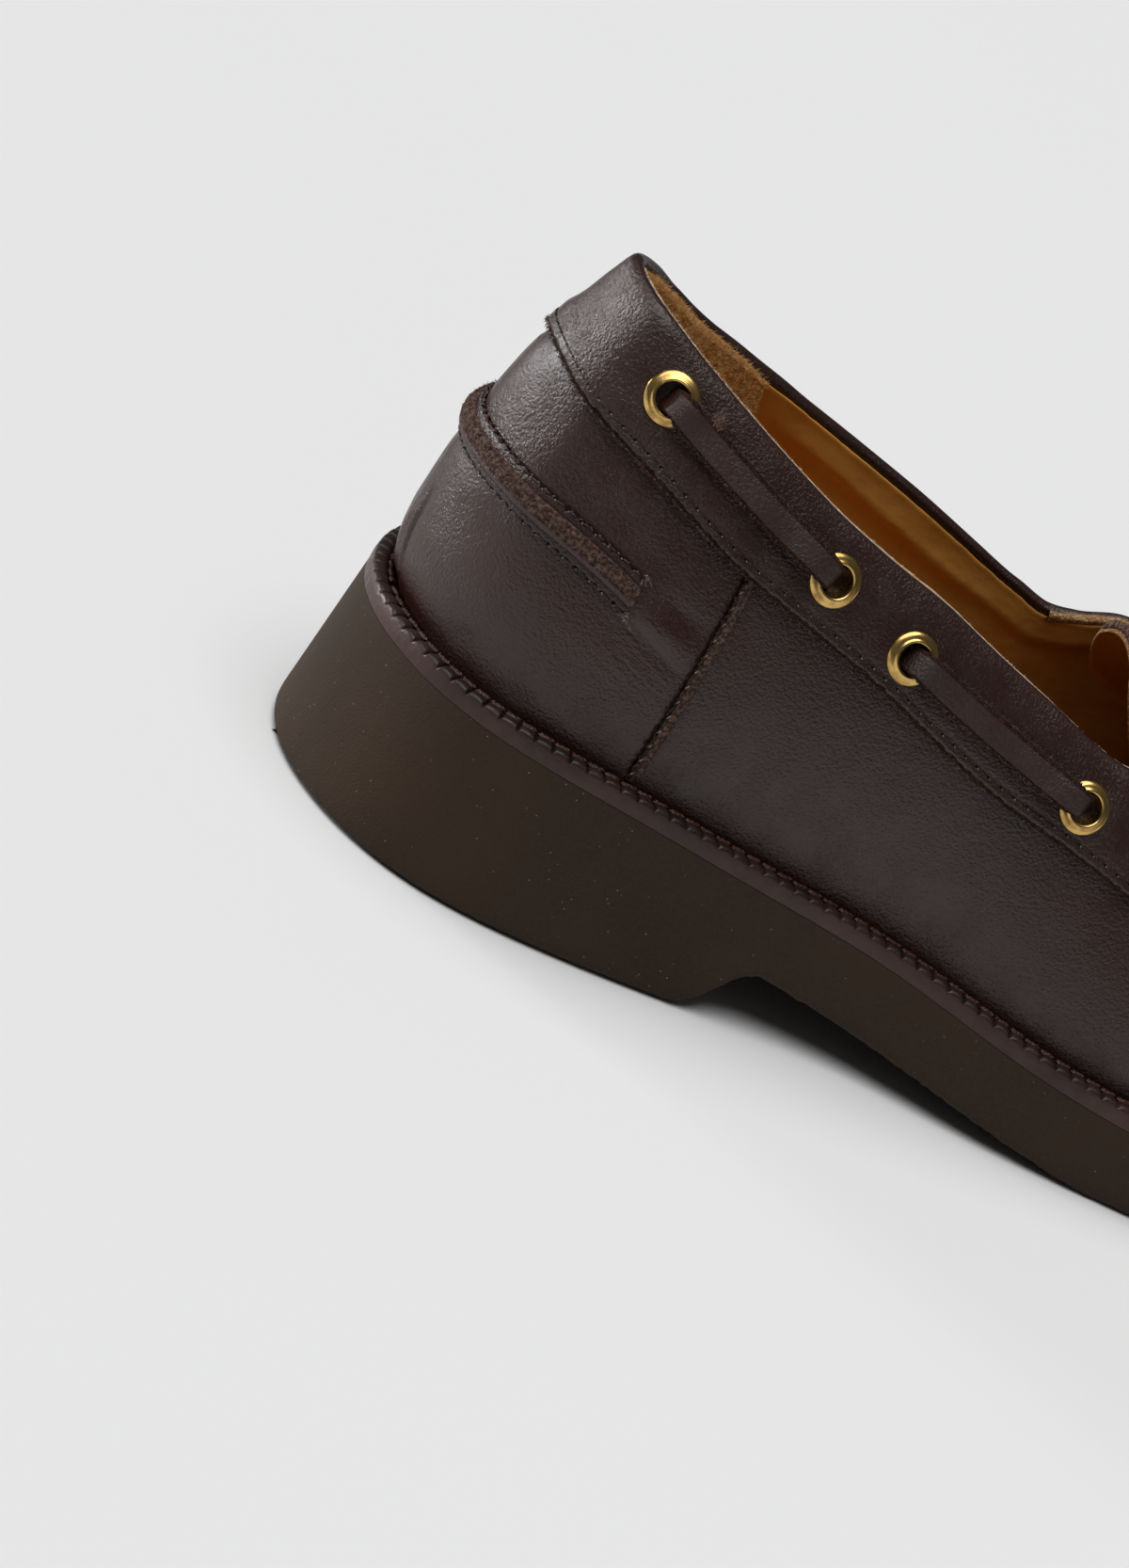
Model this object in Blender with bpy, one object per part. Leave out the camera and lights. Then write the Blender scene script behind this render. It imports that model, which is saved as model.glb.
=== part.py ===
"""Lace-up loafer, right shoe: a moccasin-cut leather upper on a welted rubber sole.

The shoe stands empty on its sole. +X points to the toe, +Y to the wearer's left
(the medial side), +Z up, and the origin is at the bottom centre of its box.
Lengths in this file are millimetres until a mesh is made.

Places around the shoe are given as stations: 0 is the back of the heel, 12 the tip
of the toe, 1 to 11 run along the outer (lateral) side and 13 to 23 back along the
inner (medial) side.
"""

import math

import bmesh
import bpy
import numpy as np
from mathutils import Matrix, Vector

MM = 0.001

# Driving dimensions
LENGTH = 285.0          # heel to toe, along the top edge of the rubber
BALL_WIDTH = 95.0       # over the welt, at the ball of the foot
HEEL_WIDTH = 73.4       # over the welt, at the heel
COLLAR_HEIGHT = 104.8   # floor to the top of the collar, at the back
INSTEP_HEIGHT = 76.3    # floor to the top of the medial facing
HEEL_FLARE = 1.1        # how far the heel's foot stands out from its top edge
WELT_WIDTH = 4.4        # the welt's shelf, seen from above
WELT_THICKNESS = 3.2
UPPER_WALL = 2.0        # leather and lining together
BAND_THICKNESS = 1.5    # the collar band and its facings
STRIP_WIDTH = 6.0
STRIP_THICKNESS = 2.0
TONGUE_THICKNESS = 2.4
INSOLE_THICKNESS = 2.8
EYELET_OUTER = 9.5
EYELET_HOLE = 5.4
EYELET_SHANK = 6.1      # outer diameter of the eyelet's tube
LACE_WIDTH = 5.6
LACE_THICKNESS = 1.8
GAP = 0.3               # left between pieces that lie on each other
BAND_LIFT = 0.4         # the collar band's inside over the upper, where it bends most
STRIP_LIFT = 0.35
THROAT_RISE = 4.2       # how far the lace over the tongue stands over a straight line
MERGE = 0.001           # points nearer than this are one

STATIONS = 24
TOE = 12

# The outline of the rubber's top edge. x is a part of LENGTH. y is the sum of a part
# of HEEL_WIDTH and a part of BALL_WIDTH, negative on the outer side.
OUTLINE = [
    # x, of heel width, of ball width
    (0.000, 0.000, 0.000),
    (0.023, -0.287, 0.000),
    (0.070, -0.448, 0.000),
    (0.141, -0.512, 0.000),
    (0.250, -0.508, 0.000),
    (0.360, 0.000, -0.390),
    (0.467, 0.000, -0.454),
    (0.583, 0.000, -0.487),
    (0.700, 0.000, -0.508),
    (0.817, 0.000, -0.442),
    (0.917, 0.000, -0.318),
    (0.980, 0.000, -0.145),
    (1.000, 0.000, 0.058),
    (0.980, 0.000, 0.258),
    (0.917, 0.000, 0.408),
    (0.817, 0.000, 0.485),
    (0.700, 0.000, 0.492),
    (0.583, 0.000, 0.406),
    (0.467, 0.000, 0.300),
    (0.360, 0.000, 0.280),
    (0.250, 0.448, 0.000),
    (0.141, 0.488, 0.000),
    (0.070, 0.448, 0.000),
    (0.023, 0.287, 0.000),
]

# The height of the rubber's top edge over the floor, against its place along LENGTH.
RUBBER_TOP = [
    # x, height
    (0.000, 30.6),
    (0.083, 30.6),
    (0.167, 29.0),
    (0.267, 25.2),
    (0.367, 21.3),
    (0.467, 17.1),
    (0.583, 14.3),
    (0.717, 14.7),
    (0.867, 17.6),
    (1.000, 25.0),
]
BREAST_FOOT = 0.257     # where the heel's flat foot ends, as a part of LENGTH
BREAST_HEAD = 0.285     # where the front face of the heel meets the waist
WAIST_LIFT = 10.7       # underside of the waist over the floor, in front of the heel
TREAD_START = 0.535     # the forepart lies flat from here
TREAD_END = 0.715       # to here, and then springs up to the toe
TOE_SPRING = 9.0
EDGE_ROUND = 2.0        # rounding of the rubber's bottom edge

# The upper's top edge: the collar, the facings and, in front of the throat, the ridge
# line where both sides meet. x is a part of LENGTH and y of BALL_WIDTH. z and the
# seam's height are parts of COLLAR_HEIGHT behind and of INSTEP_HEIGHT in front. The
# seam is the lower edge of the collar band, and further forward the moccasin seam.
# The leans are in degrees: outward at the foot, inward at the top.
COLLAR_EDGE = [
    # station, x, y, z, seam, foot lean, top lean
    (18.6, 0.393, 0.243, 0.680, 0.540, 28, 22),
    (19.0, 0.360, 0.238, 0.705, 0.558, 28, 21),
    (20.0, 0.253, 0.218, 0.787, 0.636, 14, 27),
    (21.0, 0.147, 0.172, 0.858, 0.706, 7, 31),
    (22.0, 0.099, 0.140, 0.902, 0.761, 12, 30),
    (23.0, 0.058, 0.085, 0.962, 0.802, 20, 27),
    (24.0, 0.035, -0.010, 0.992, 0.825, 25, 24),
    (25.0, 0.047, -0.118, 0.988, 0.804, 20, 22),
    (26.0, 0.087, -0.175, 0.946, 0.765, 12, 26),
    (27.0, 0.147, -0.215, 0.883, 0.702, 5, 31),
    (28.0, 0.250, -0.250, 0.787, 0.629, 3, 32),
    (29.0, 0.358, -0.270, 0.694, 0.540, 3, 33),
    (29.7, 0.437, -0.285, 0.646, 0.502, 2, 36),
]
THROAT_EDGE = [
    # station, x, y, z, seam, foot lean, top lean
    (6.00, 0.465, -0.268, 0.887, 0.663, 2, 40),
    (6.28, 0.497, -0.208, 0.941, 0.641, 2, 50),
    (6.42, 0.513, -0.180, 0.954, 0.629, 3, 56),
    (7.00, 0.573, -0.160, 0.888, 0.598, 4, 62),
    (7.42, 0.623, -0.130, 0.829, 0.592, 6, 68),
    (7.58, 0.637, -0.075, 0.821, 0.592, 7, 76),
    (7.70, 0.643, 0.005, 0.818, 0.592, 7, 86),
    (8.00, 0.687, 0.008, 0.772, 0.592, 8, 88),
    (9.00, 0.790, 0.030, 0.684, 0.585, 12, 88),
    (10.0, 0.852, 0.046, 0.648, 0.573, 16, 88),
    (11.0, 0.882, 0.054, 0.632, 0.567, 18, 88),
    (12.0, 0.890, 0.057, 0.627, 0.567, 18, 88),
    (13.0, 0.882, 0.054, 0.632, 0.567, 18, 88),
    (14.0, 0.852, 0.046, 0.648, 0.573, 16, 88),
    (15.0, 0.790, 0.030, 0.684, 0.585, 12, 88),
    (16.0, 0.687, 0.008, 0.772, 0.592, 9, 88),
    (16.3, 0.643, 0.005, 0.818, 0.598, 10, 86),
    (16.42, 0.637, 0.085, 0.821, 0.601, 11, 76),
    (16.58, 0.623, 0.140, 0.829, 0.605, 12, 68),
    (17.0, 0.573, 0.170, 0.891, 0.620, 15, 60),
    (17.6, 0.513, 0.190, 0.961, 0.653, 20, 50),
    (17.8, 0.490, 0.205, 0.982, 0.671, 22, 42),
    (18.03, 0.463, 0.217, 0.970, 0.688, 24, 36),
    (18.28, 0.437, 0.233, 0.926, 0.711, 26, 28),
    (18.45, 0.417, 0.238, 0.912, 0.724, 27, 24),
]
EDGE_NAMES = ("x", "y", "z", "seam", "foot_lean", "top_lean")
THROAT_OUTER = 7.70     # between these two stations the two sides meet
THROAT_INNER = 16.30
BAND_OUTER = 7.42       # the collar band's two front ends
BAND_INNER = 16.58
FOOT_PULL = (0.22, 0.40)  # how far the wall keeps its lean over the welt: heel, toe
PULL_SPAN = (0.45, 0.65)  # the parts of LENGTH between which the one becomes the other
TOP_PULL = 0.38
LOW_ROWS, BAND_ROWS = 5, 3  # rows of faces up the wall: below and above the seam

# Eyelets of the collar band: station, and distance below the top edge.
EYELETS = {
    "lateral_1": (1.78, 9.4),
    "lateral_2": (3.57, 10.1),
    "lateral_3": (4.17, 10.1),
    "lateral_4": (5.51, 8.6),
    "lateral_5": (6.62, 6.5),
    "lateral_6": (7.16, 6.5),
    "medial_1": (22.22, 9.4),
    "medial_2": (20.43, 10.1),
    "medial_3": (19.83, 10.1),
    "medial_4": (18.78, 9.5),
    "medial_5": (17.40, 6.5),
    "medial_6": (16.86, 6.5),
}
LACE_BARS = {
    "lateral_rear": ("lateral_1", "lateral_2"),
    "lateral_front": ("lateral_3", "lateral_4"),
    "medial_rear": ("medial_1", "medial_2"),
    "medial_front": ("medial_3", "medial_4"),
}
THROAT_BAR = ("lateral_6", "medial_6")

# The lace leaves an eyelet's hole and turns over its rim: distance from the eyelet's
# centre along the lace, height over the band, and width.
LACE_TURN = [
    # distance, height, width
    (0.0, -2.2, 2.8),
    (0.2, -0.4, 2.8),
    (0.8, 1.9, 2.8),
    (2.4, 3.3, 4.0),
    (6.0, 3.1, LACE_WIDTH),
    (9.0, 2.1, LACE_WIDTH),
]

# The raw strip around the heel: its centre line drops towards both ends.
STRIP_HEIGHT = 65.8
STRIP_END = 2.43        # stations from the back to each end
STRIP_DROP = 3.8

# The tongue's sections, from its free end forward to the seam under the vamp.
TONGUE = [
    # x (part of LENGTH), crown height (part of INSTEP_HEIGHT), arch radius, half width
    (0.436, 1.060, 17.0, 16.5),
    (0.500, 0.980, 21.0, 19.0),
    (0.573, 0.893, 26.0, 21.5),
    (0.640, 0.774, 32.5, 22.0),
    (0.680, 0.738, 36.0, 22.0),
]
TONGUE_CORNER = 7.0

COLOURS = {
    # sRGB 0 to 1, roughness, metallic
    "outsole": ((0.18, 0.15, 0.12), 0.85, 0.0),
    "welt": ((0.20, 0.12, 0.09), 0.55, 0.0),
    "insole": ((0.55, 0.36, 0.17), 0.70, 0.0),
    "upper": ((0.17, 0.12, 0.11), 0.45, 0.0),
    "collar_band": ((0.21, 0.17, 0.16), 0.50, 0.0),
    "heel_strip": ((0.27, 0.20, 0.17), 0.90, 0.0),
    "tongue": ((0.19, 0.14, 0.13), 0.55, 0.0),
    "eyelet": ((0.70, 0.57, 0.28), 0.35, 1.0),
    "lace": ((0.20, 0.15, 0.13), 0.60, 0.0),
}


# Curves

def cubic(knots, values, at, closed=False):
    """A smooth cubic spline through the values, natural or closed on itself."""
    knots, values = np.asarray(knots, float), np.asarray(values, float)
    step = np.diff(knots)
    slope = np.diff(values) / step
    count = len(knots)
    system, right = np.zeros((count, count)), np.zeros(count)
    for i in range(1, count - 1):
        system[i, i - 1:i + 2] = step[i - 1], 2 * (step[i - 1] + step[i]), step[i]
        right[i] = 6 * (slope[i] - slope[i - 1])
    if closed:
        system[0, [0, 1, -2]] = 2 * (step[0] + step[-1]), step[0], step[-1]
        right[0] = 6 * (slope[0] - slope[-1])
        system[-1, [0, -1]] = 1, -1
    else:
        system[0, 0] = system[-1, -1] = 1
    bend = np.linalg.solve(system, right)
    i = np.clip(np.searchsorted(knots, at, side="right") - 1, 0, count - 2)
    h = step[i]
    a, b = (knots[i + 1] - at) / h, (at - knots[i]) / h
    curve = ((a ** 3 - a) * bend[i] + (b ** 3 - b) * bend[i + 1]) * h * h / 6
    return a * values[i] + b * values[i + 1] + curve


def steady(knots, values, at):
    """A curve through the values that never overshoots them."""
    knots, values = np.asarray(knots, float), np.asarray(values, float)
    step = np.diff(knots)
    slope = np.diff(values) / step
    before, after = slope[:-1], slope[1:]
    level = before * after <= 0
    mean = 2 * before * after / np.where(level, 1, before + after)
    tangent = np.concatenate([slope[:1], np.where(level, 0, mean), slope[-1:]])
    i = np.clip(np.searchsorted(knots, at, side="right") - 1, 0, len(knots) - 2)
    h = step[i]
    u = (at - knots[i]) / h
    return (
        values[i] * (1 + 2 * u) * (1 - u) ** 2
        + values[i + 1] * u * u * (3 - 2 * u)
        + h * tangent[i] * u * (1 - u) ** 2
        + h * tangent[i + 1] * u * u * (u - 1)
    )


def unit(vectors):
    return vectors / np.linalg.norm(vectors, axis=-1, keepdims=True)


# The sole's outline and heights

OUTLINE_POINTS = np.array([
    (x * LENGTH, heel * HEEL_WIDTH + ball * BALL_WIDTH) for x, heel, ball in OUTLINE
])
OUTLINE_LOOP = np.vstack([OUTLINE_POINTS, OUTLINE_POINTS[:1]])
# Knots a square root of the distance apart give an even curve through uneven points.
OUTLINE_KNOTS = np.concatenate([
    [0], np.cumsum(np.sqrt(np.linalg.norm(np.diff(OUTLINE_LOOP, axis=0), axis=1)))
])


def outline(station):
    """(x, y) of the rubber's top edge."""
    station = np.asarray(station, float) % STATIONS
    knot = np.interp(station, np.arange(STATIONS + 1), OUTLINE_KNOTS)
    return np.stack(
        [cubic(OUTLINE_KNOTS, OUTLINE_LOOP[:, k], knot, closed=True) for k in (0, 1)], -1
    )


def outward(station):
    """The level direction pointing out of the outline."""
    along = outline(np.asarray(station) + 0.02) - outline(np.asarray(station) - 0.02)
    return unit(np.stack([along[..., 1], -along[..., 0]], -1))


def rubber_top(x):
    parts, heights = np.array(RUBBER_TOP).T
    return cubic(parts * LENGTH, heights, np.clip(x, 0, LENGTH))


def rubber_bottom(x):
    """The underside: the heel, its front face, the waist, the tread and the toe spring."""
    places = np.array([0, BREAST_FOOT, BREAST_HEAD, TREAD_START, TREAD_END]) * LENGTH
    low = np.interp(x, places, [0, 0, WAIST_LIFT, 0, 0])
    spring = np.clip((x / LENGTH - TREAD_END) / (1 - TREAD_END), 0, 1.02)
    return low + TOE_SPRING * spring ** 1.8


def around(station, inset, height):
    """Points on a ring around the shoe, at a height over the rubber's top edge."""
    level = outline(station) - inset * outward(station)
    return np.column_stack([level, rubber_top(level[:, 0]) + height])


# The upper's outside

def edge_column(name, station):
    rows = []
    for table, height in ((COLLAR_EDGE, COLLAR_HEIGHT), (THROAT_EDGE, INSTEP_HEIGHT)):
        scale = (1, LENGTH, BALL_WIDTH, height, height, 1, 1)
        rows += [[value * unit_size for value, unit_size in zip(row, scale)] for row in table]
    rows = sorted([row[0] % STATIONS] + row[1:] for row in rows)
    before = [[row[0] - STATIONS] + row[1:] for row in rows[-3:]]
    after = [[row[0] + STATIONS] + row[1:] for row in rows[:3]]
    table = np.array(before + rows + after)
    station = np.asarray(station, float) % STATIONS
    return steady(table[:, 0], table[:, 1 + EDGE_NAMES.index(name)], station)


def top_edge(station):
    """The upper's top edge. In front of the throat both sides share their points."""
    station = np.asarray(station, float) % STATIONS
    joined = (station > THROAT_OUTER - 1e-6) & (station < THROAT_INNER + 1e-6)
    station = np.where(joined, np.minimum(station, STATIONS - station), station)
    return np.stack([edge_column(name, station) for name in ("x", "y", "z")], -1)


def wall(station, part):
    """A point on the upper's outside, from the welt (part 0) to its top edge (part 1)."""
    station, part = np.broadcast_arrays(np.asarray(station, float), np.asarray(part, float))
    level, out = outline(station), outward(station)
    level = level - WELT_WIDTH * out
    foot = np.dstack([level[..., 0], level[..., 1], rubber_top(level[..., 0])])
    foot = foot.reshape(station.shape + (3,)) + [0, 0, GAP + WELT_THICKNESS]
    top = top_edge(station)
    out = np.concatenate([out, np.zeros(station.shape + (1,))], -1)
    up = np.array([0, 0, 1.0])
    reach = np.linalg.norm(top - foot, axis=-1)[..., None]
    foot_lean = np.radians(edge_column("foot_lean", station))[..., None]
    top_lean = np.radians(edge_column("top_lean", station))[..., None]
    pull = np.interp(foot[..., 0] / LENGTH, PULL_SPAN, FOOT_PULL)[..., None]
    low = foot + pull * reach * (np.cos(foot_lean) * up + np.sin(foot_lean) * out)
    high = top - TOP_PULL * reach * (np.cos(top_lean) * up - np.sin(top_lean) * out)
    t = part[..., None]
    return (
        (1 - t) ** 3 * foot
        + 3 * t * (1 - t) ** 2 * low
        + 3 * t * t * (1 - t) * high
        + t ** 3 * top
    )


def wall_normal(station, part):
    """The outward direction of the upper's outside."""
    station, part = np.asarray(station, float), np.asarray(part, float)
    low, high = np.clip(part - 0.01, 0, 1), np.clip(part + 0.01, 0, 1)
    along = wall(station + 0.02, part) - wall(station - 0.02, part)
    up = wall(station, high) - wall(station, low)
    return unit(np.cross(along, up))


def skin(station, part, lift):
    """A point lifted off the upper's outside."""
    return wall(station, part) + lift * wall_normal(station, part)


def part_at_height(station, height):
    """How far up the wall it reaches a height over the floor."""
    parts = np.linspace(0, 1, 101)
    heights = np.maximum.accumulate(wall(station, parts)[:, 2] + 1e-6 * parts)
    return np.interp(height, heights, parts)


def part_below_edge(station, distance):
    """How far up the wall it is at a distance from the top edge."""
    parts = np.linspace(1, 0, 201)
    points = wall(station, parts)
    gone = np.concatenate([[0], np.cumsum(np.linalg.norm(np.diff(points, axis=0), axis=1))])
    return np.interp(distance, gone, parts)


def seam_part(station):
    """Where the band's lower edge, and in front the moccasin seam, crosses the wall."""
    return part_at_height(station, edge_column("seam", station))


def wall_stations():
    """Even stations, with closer ones where the facings and the throat turn."""
    even = np.arange(0, STATIONS, 1 / 3)
    turns = [6.14, 6.28, 6.42, 7.16, 7.29, BAND_OUTER, 7.50, 7.58, 7.64, THROAT_OUTER]
    mirrored = [17.8, 17.6, 16.85, 16.71, BAND_INNER, 16.50, 16.42, 16.36, THROAT_INNER]
    extra = np.array(turns + mirrored)
    even = [s for s in even if np.abs(extra - s).min() > 0.06]
    return np.sort(np.concatenate([even, extra]))


# Making objects

def material(name):
    key = next((k for k in COLOURS if name.startswith(k)), name)
    colour, roughness, metallic = COLOURS[key]
    made = bpy.data.materials.new(name)
    made.use_nodes = True
    shader = made.node_tree.nodes["Principled BSDF"]
    linear = [c / 12.92 if c <= 0.04045 else ((c + 0.055) / 1.055) ** 2.4 for c in colour]
    shader.inputs["Base Color"].default_value = (*linear, 1)
    shader.inputs["Roughness"].default_value = roughness
    shader.inputs["Metallic"].default_value = metallic
    return made


def add_object(name, build):
    """A named object from a bmesh in millimetres, stood at the shoe's origin."""
    bmesh.ops.remove_doubles(build, verts=build.verts, dist=MERGE)
    bmesh.ops.scale(build, vec=(MM, MM, MM), verts=build.verts)
    mesh = bpy.data.meshes.new(name)
    build.to_mesh(mesh)
    build.free()
    mesh.shade_smooth()
    mesh.set_sharp_from_angle(angle=math.radians(40))
    made = bpy.data.objects.new(name, mesh)
    mesh.materials.append(material(name))
    bpy.context.scene.collection.objects.link(made)
    return made


def add_sheet(build, rows, wrap=False):
    """Quads over rows of points. Each row has the same number of points."""
    verts = [[build.verts.new(point) for point in row] for row in rows]
    across = len(verts[0])
    for lower, upper in zip(verts, verts[1:]):
        for j in range(across if wrap else across - 1):
            k = (j + 1) % across
            build.faces.new((lower[j], lower[k], upper[k], upper[j]))
    return verts


def thicken(made, thickness, outward_side):
    modifier = made.modifiers.new("Wall", "SOLIDIFY")
    modifier.thickness = thickness * MM
    modifier.offset = 1 if outward_side else -1
    modifier.use_even_offset = True
    modifier.use_quality_normals = True


def cut(made, cutter):
    modifier = made.modifiers.new("Eyelet holes", "BOOLEAN")
    modifier.operation = "DIFFERENCE"
    modifier.object = cutter


def heel_share(x):
    """1 over the heel, fading to 0 in front of its breast."""
    return np.interp(x, np.array([BREAST_FOOT, TREAD_START]) * LENGTH, [1, 0])


def box_origin():
    """The bottom centre of the whole shoe's box, in the tables' frame."""
    stations = np.linspace(0, STATIONS, 40 * STATIONS + 1)
    dense = outline(stations)
    flared = dense + HEEL_FLARE * heel_share(dense[:, 0])[:, None] * outward(stations)
    both = np.vstack([dense, flared])
    middle = (both.min(0) + both.max(0)) / 2
    return np.array([middle[0], middle[1], 0.0])


# The pieces

def make_outsole():
    """One rubber unit. Its rings share each x, so the heel's front face runs straight."""
    lateral = np.linspace(0, TOE, 601)
    medial = STATIONS - lateral
    x_of = [np.maximum.accumulate(outline(side)[:, 0]) for side in (lateral, medial)]
    turn = np.linspace(0, math.pi, 37)[1:-1]
    places = list((1 - np.cos(turn)) / 2)
    breast = [BREAST_FOOT - 0.006, BREAST_FOOT, BREAST_HEAD, BREAST_HEAD + 0.008]
    near = [p for p in places if np.abs(np.array(breast) - p).min() > 0.004]
    x = np.sort(np.array(near + breast)) * LENGTH
    sides = [np.interp(x, x_of[0], lateral), np.interp(x, x_of[1], medial)]
    ring = np.concatenate([[0], sides[0], [TOE], sides[1][::-1]])
    level, out = outline(ring), outward(ring)
    top, bottom = rubber_top(level[:, 0]), rubber_bottom(level[:, 0])
    flare = HEEL_FLARE * heel_share(level[:, 0])

    def loop(offset, height):
        return np.column_stack([level + offset[:, None] * out, height])

    rows = [
        loop(flare - EDGE_ROUND, bottom),
        loop(flare - 0.3 * EDGE_ROUND, bottom + 0.3 * EDGE_ROUND),
        loop(flare * 0.95, bottom + EDGE_ROUND),
        loop(np.zeros(len(ring)), top),
    ]
    build = bmesh.new()
    verts = add_sheet(build, rows, wrap=True)
    half = len(x) + 1
    for loop_verts, height in ((verts[0], rubber_bottom), (verts[-1], rubber_top)):
        close_ring(build, loop_verts, half, height, across=4)
    bmesh.ops.recalc_face_normals(build, faces=build.faces)
    return add_object("outsole", build)


def close_ring(build, loop_verts, half, height, across):
    """Fills a ring whose points pair up across the shoe: the first is the back of the
    heel and the one numbered half is the tip of the toe."""
    count = len(loop_verts)
    lines = []
    for i in range(1, half):
        left, right = loop_verts[i], loop_verts[count - i]
        line = [left]
        for k in range(1, across):
            point = left.co.lerp(right.co, k / across)
            line.append(build.verts.new((point.x, point.y, float(height(point.x)))))
        lines.append(line + [right])
    for one, two in zip(lines, lines[1:]):
        for k in range(across):
            build.faces.new((one[k], one[k + 1], two[k + 1], two[k]))
    for end, line in ((loop_verts[0], lines[0]), (loop_verts[half], lines[-1])):
        for k in range(across):
            build.faces.new((end, line[k], line[k + 1]))


def make_welt(stations):
    """A leather ring on the rubber, around the foot of the upper."""
    inner, outer = WELT_WIDTH - GAP, 0.0
    low, high = GAP, GAP + WELT_THICKNESS
    corners = [(inner, low), (outer, low), (outer, high), (inner, high), (inner, low)]
    build = bmesh.new()
    add_sheet(build, [around(stations, inset, height) for inset, height in corners], wrap=True)
    bmesh.ops.remove_doubles(build, verts=build.verts, dist=MERGE)
    bmesh.ops.recalc_face_normals(build, faces=build.faces)
    return add_object("welt", build)


def make_insole():
    """A flat board inside the upper's foot, following the top of the rubber."""
    half = 30
    ring = np.arange(2 * half) * TOE / half
    inset = WELT_WIDTH + UPPER_WALL + 2 * GAP
    lifts = (GAP, GAP + INSOLE_THICKNESS)
    build = bmesh.new()
    verts = add_sheet(build, [around(ring, inset, lift) for lift in lifts], wrap=True)
    for loop_verts, lift in zip(verts, lifts):
        close_ring(build, loop_verts, half, lambda x: rubber_top(x) + lift, across=2)
    bmesh.ops.recalc_face_normals(build, faces=build.faces)
    return add_object("insole", build)


def wall_rows(stations, low_rows, band_rows):
    """The parts of the wall at which its rows of points lie, from the welt to the top."""
    seams = np.array([seam_part(s) for s in stations])
    low = [seams * k / low_rows for k in range(low_rows)]
    high = [seams + (1 - seams) * k / band_rows for k in range(band_rows + 1)]
    return low, high


def make_upper(stations, cutter):
    """Quarters and vamp as one open shell, down beside the welt to the insole."""
    low, high = wall_rows(stations, LOW_ROWS, BAND_ROWS)
    rows = [around(stations, WELT_WIDTH, GAP)]
    rows += [wall(stations, part) for part in low + high]
    build = bmesh.new()
    add_sheet(build, rows, wrap=True)
    made = add_object("upper", build)
    thicken(made, UPPER_WALL, outward_side=False)
    cut(made, cutter)
    return made


def make_collar_band(stations, cutter):
    """The band around the collar, widening into the two facings at the throat."""
    behind = stations[stations >= BAND_INNER - 1e-6] - STATIONS
    ahead = stations[stations <= BAND_OUTER + 1e-6]
    stations = np.concatenate([behind, ahead])
    _, high = wall_rows(stations, LOW_ROWS, BAND_ROWS)
    build = bmesh.new()
    add_sheet(build, [skin(stations, part, BAND_LIFT) for part in high])
    made = add_object("collar_band", build)
    thicken(made, BAND_THICKNESS, outward_side=True)
    cut(made, cutter)
    return made


def make_heel_strip():
    stations = np.linspace(-STRIP_END, STRIP_END, 23)
    centre = STRIP_HEIGHT - STRIP_DROP * np.abs(stations / STRIP_END) ** 4
    rows = []
    for offset in (-STRIP_WIDTH / 2, 0, STRIP_WIDTH / 2):
        parts = [part_at_height(s, z + offset) for s, z in zip(stations, centre)]
        rows.append(skin(stations, np.array(parts), STRIP_LIFT))
    build = bmesh.new()
    add_sheet(build, rows)
    made = add_object("heel_strip", build)
    thicken(made, STRIP_THICKNESS, outward_side=True)
    return made


def tongue_surface(x, side):
    """A point on the tongue's top. side runs from -1 on the outer edge to 1."""
    table = np.array(TONGUE)
    place = table[:, 0] * LENGTH
    crown = steady(place, table[:, 1] * INSTEP_HEIGHT, x)
    radius = steady(place, table[:, 2], x)
    half = steady(place, table[:, 3], x)
    from_end = np.clip((x - place[0]) / TONGUE_CORNER, 0, 1)
    half = half - TONGUE_CORNER * (1 - np.sqrt(1 - (1 - from_end) ** 2))
    y = half * side
    return np.column_stack([x, y, crown - radius + np.sqrt(radius ** 2 - y ** 2)])


def make_tongue():
    ends = np.array([TONGUE[0][0], TONGUE[-1][0]]) * LENGTH
    x = np.concatenate([ends[0] + np.array([0, 0.5, 1.6, 3.6]), np.linspace(ends[0] + 7, ends[1], 8)])
    sides = np.linspace(1, -1, 11)
    build = bmesh.new()
    add_sheet(build, [tongue_surface(x, side) for side in sides])
    bmesh.ops.recalc_face_normals(build, faces=build.faces)
    made = add_object("tongue", build)
    if sum(polygon.normal.z for polygon in made.data.polygons) < 0:
        made.data.flip_normals()
    thicken(made, TONGUE_THICKNESS, outward_side=False)
    return made


def eyelet_place(name):
    """The eyelet's point on the band's outside, and the direction it faces."""
    station, distance = EYELETS[name]
    part = part_below_edge(station, distance)
    point = skin(station, part, BAND_LIFT + BAND_THICKNESS)
    return station, part, point, wall_normal(station, part)


def facing(normal):
    return Vector(normal).to_track_quat("Z", "X").to_matrix().to_4x4()


def make_eyelet(name, origin):
    """A turned brass ring with a rounded flange and a short tube through the leather."""
    hole, shank, rim = EYELET_HOLE / 2, EYELET_SHANK / 2, EYELET_OUTER / 2
    depth = -(BAND_THICKNESS + BAND_LIFT + UPPER_WALL)
    profile = [
        (hole, depth), (hole, 0.7), (hole + 0.9, 1.25),
        (rim, GAP + 0.2), (shank, GAP), (shank, depth),
    ]
    build = bmesh.new()
    verts = [build.verts.new((r, 0, z)) for r, z in profile]
    edges = [build.edges.new((a, b)) for a, b in zip(verts, verts[1:] + verts[:1])]
    bmesh.ops.spin(
        build, geom=verts + edges, cent=(0, 0, 0), axis=(0, 0, 1), angle=math.tau,
        steps=14, use_merge=True,
    )
    bmesh.ops.recalc_face_normals(build, faces=build.faces)
    made = add_object("eyelet_" + name, build)
    _, _, point, normal = eyelet_place(name)
    made.matrix_world = Matrix.Translation((point - origin) * MM) @ facing(normal)
    return made


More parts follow.
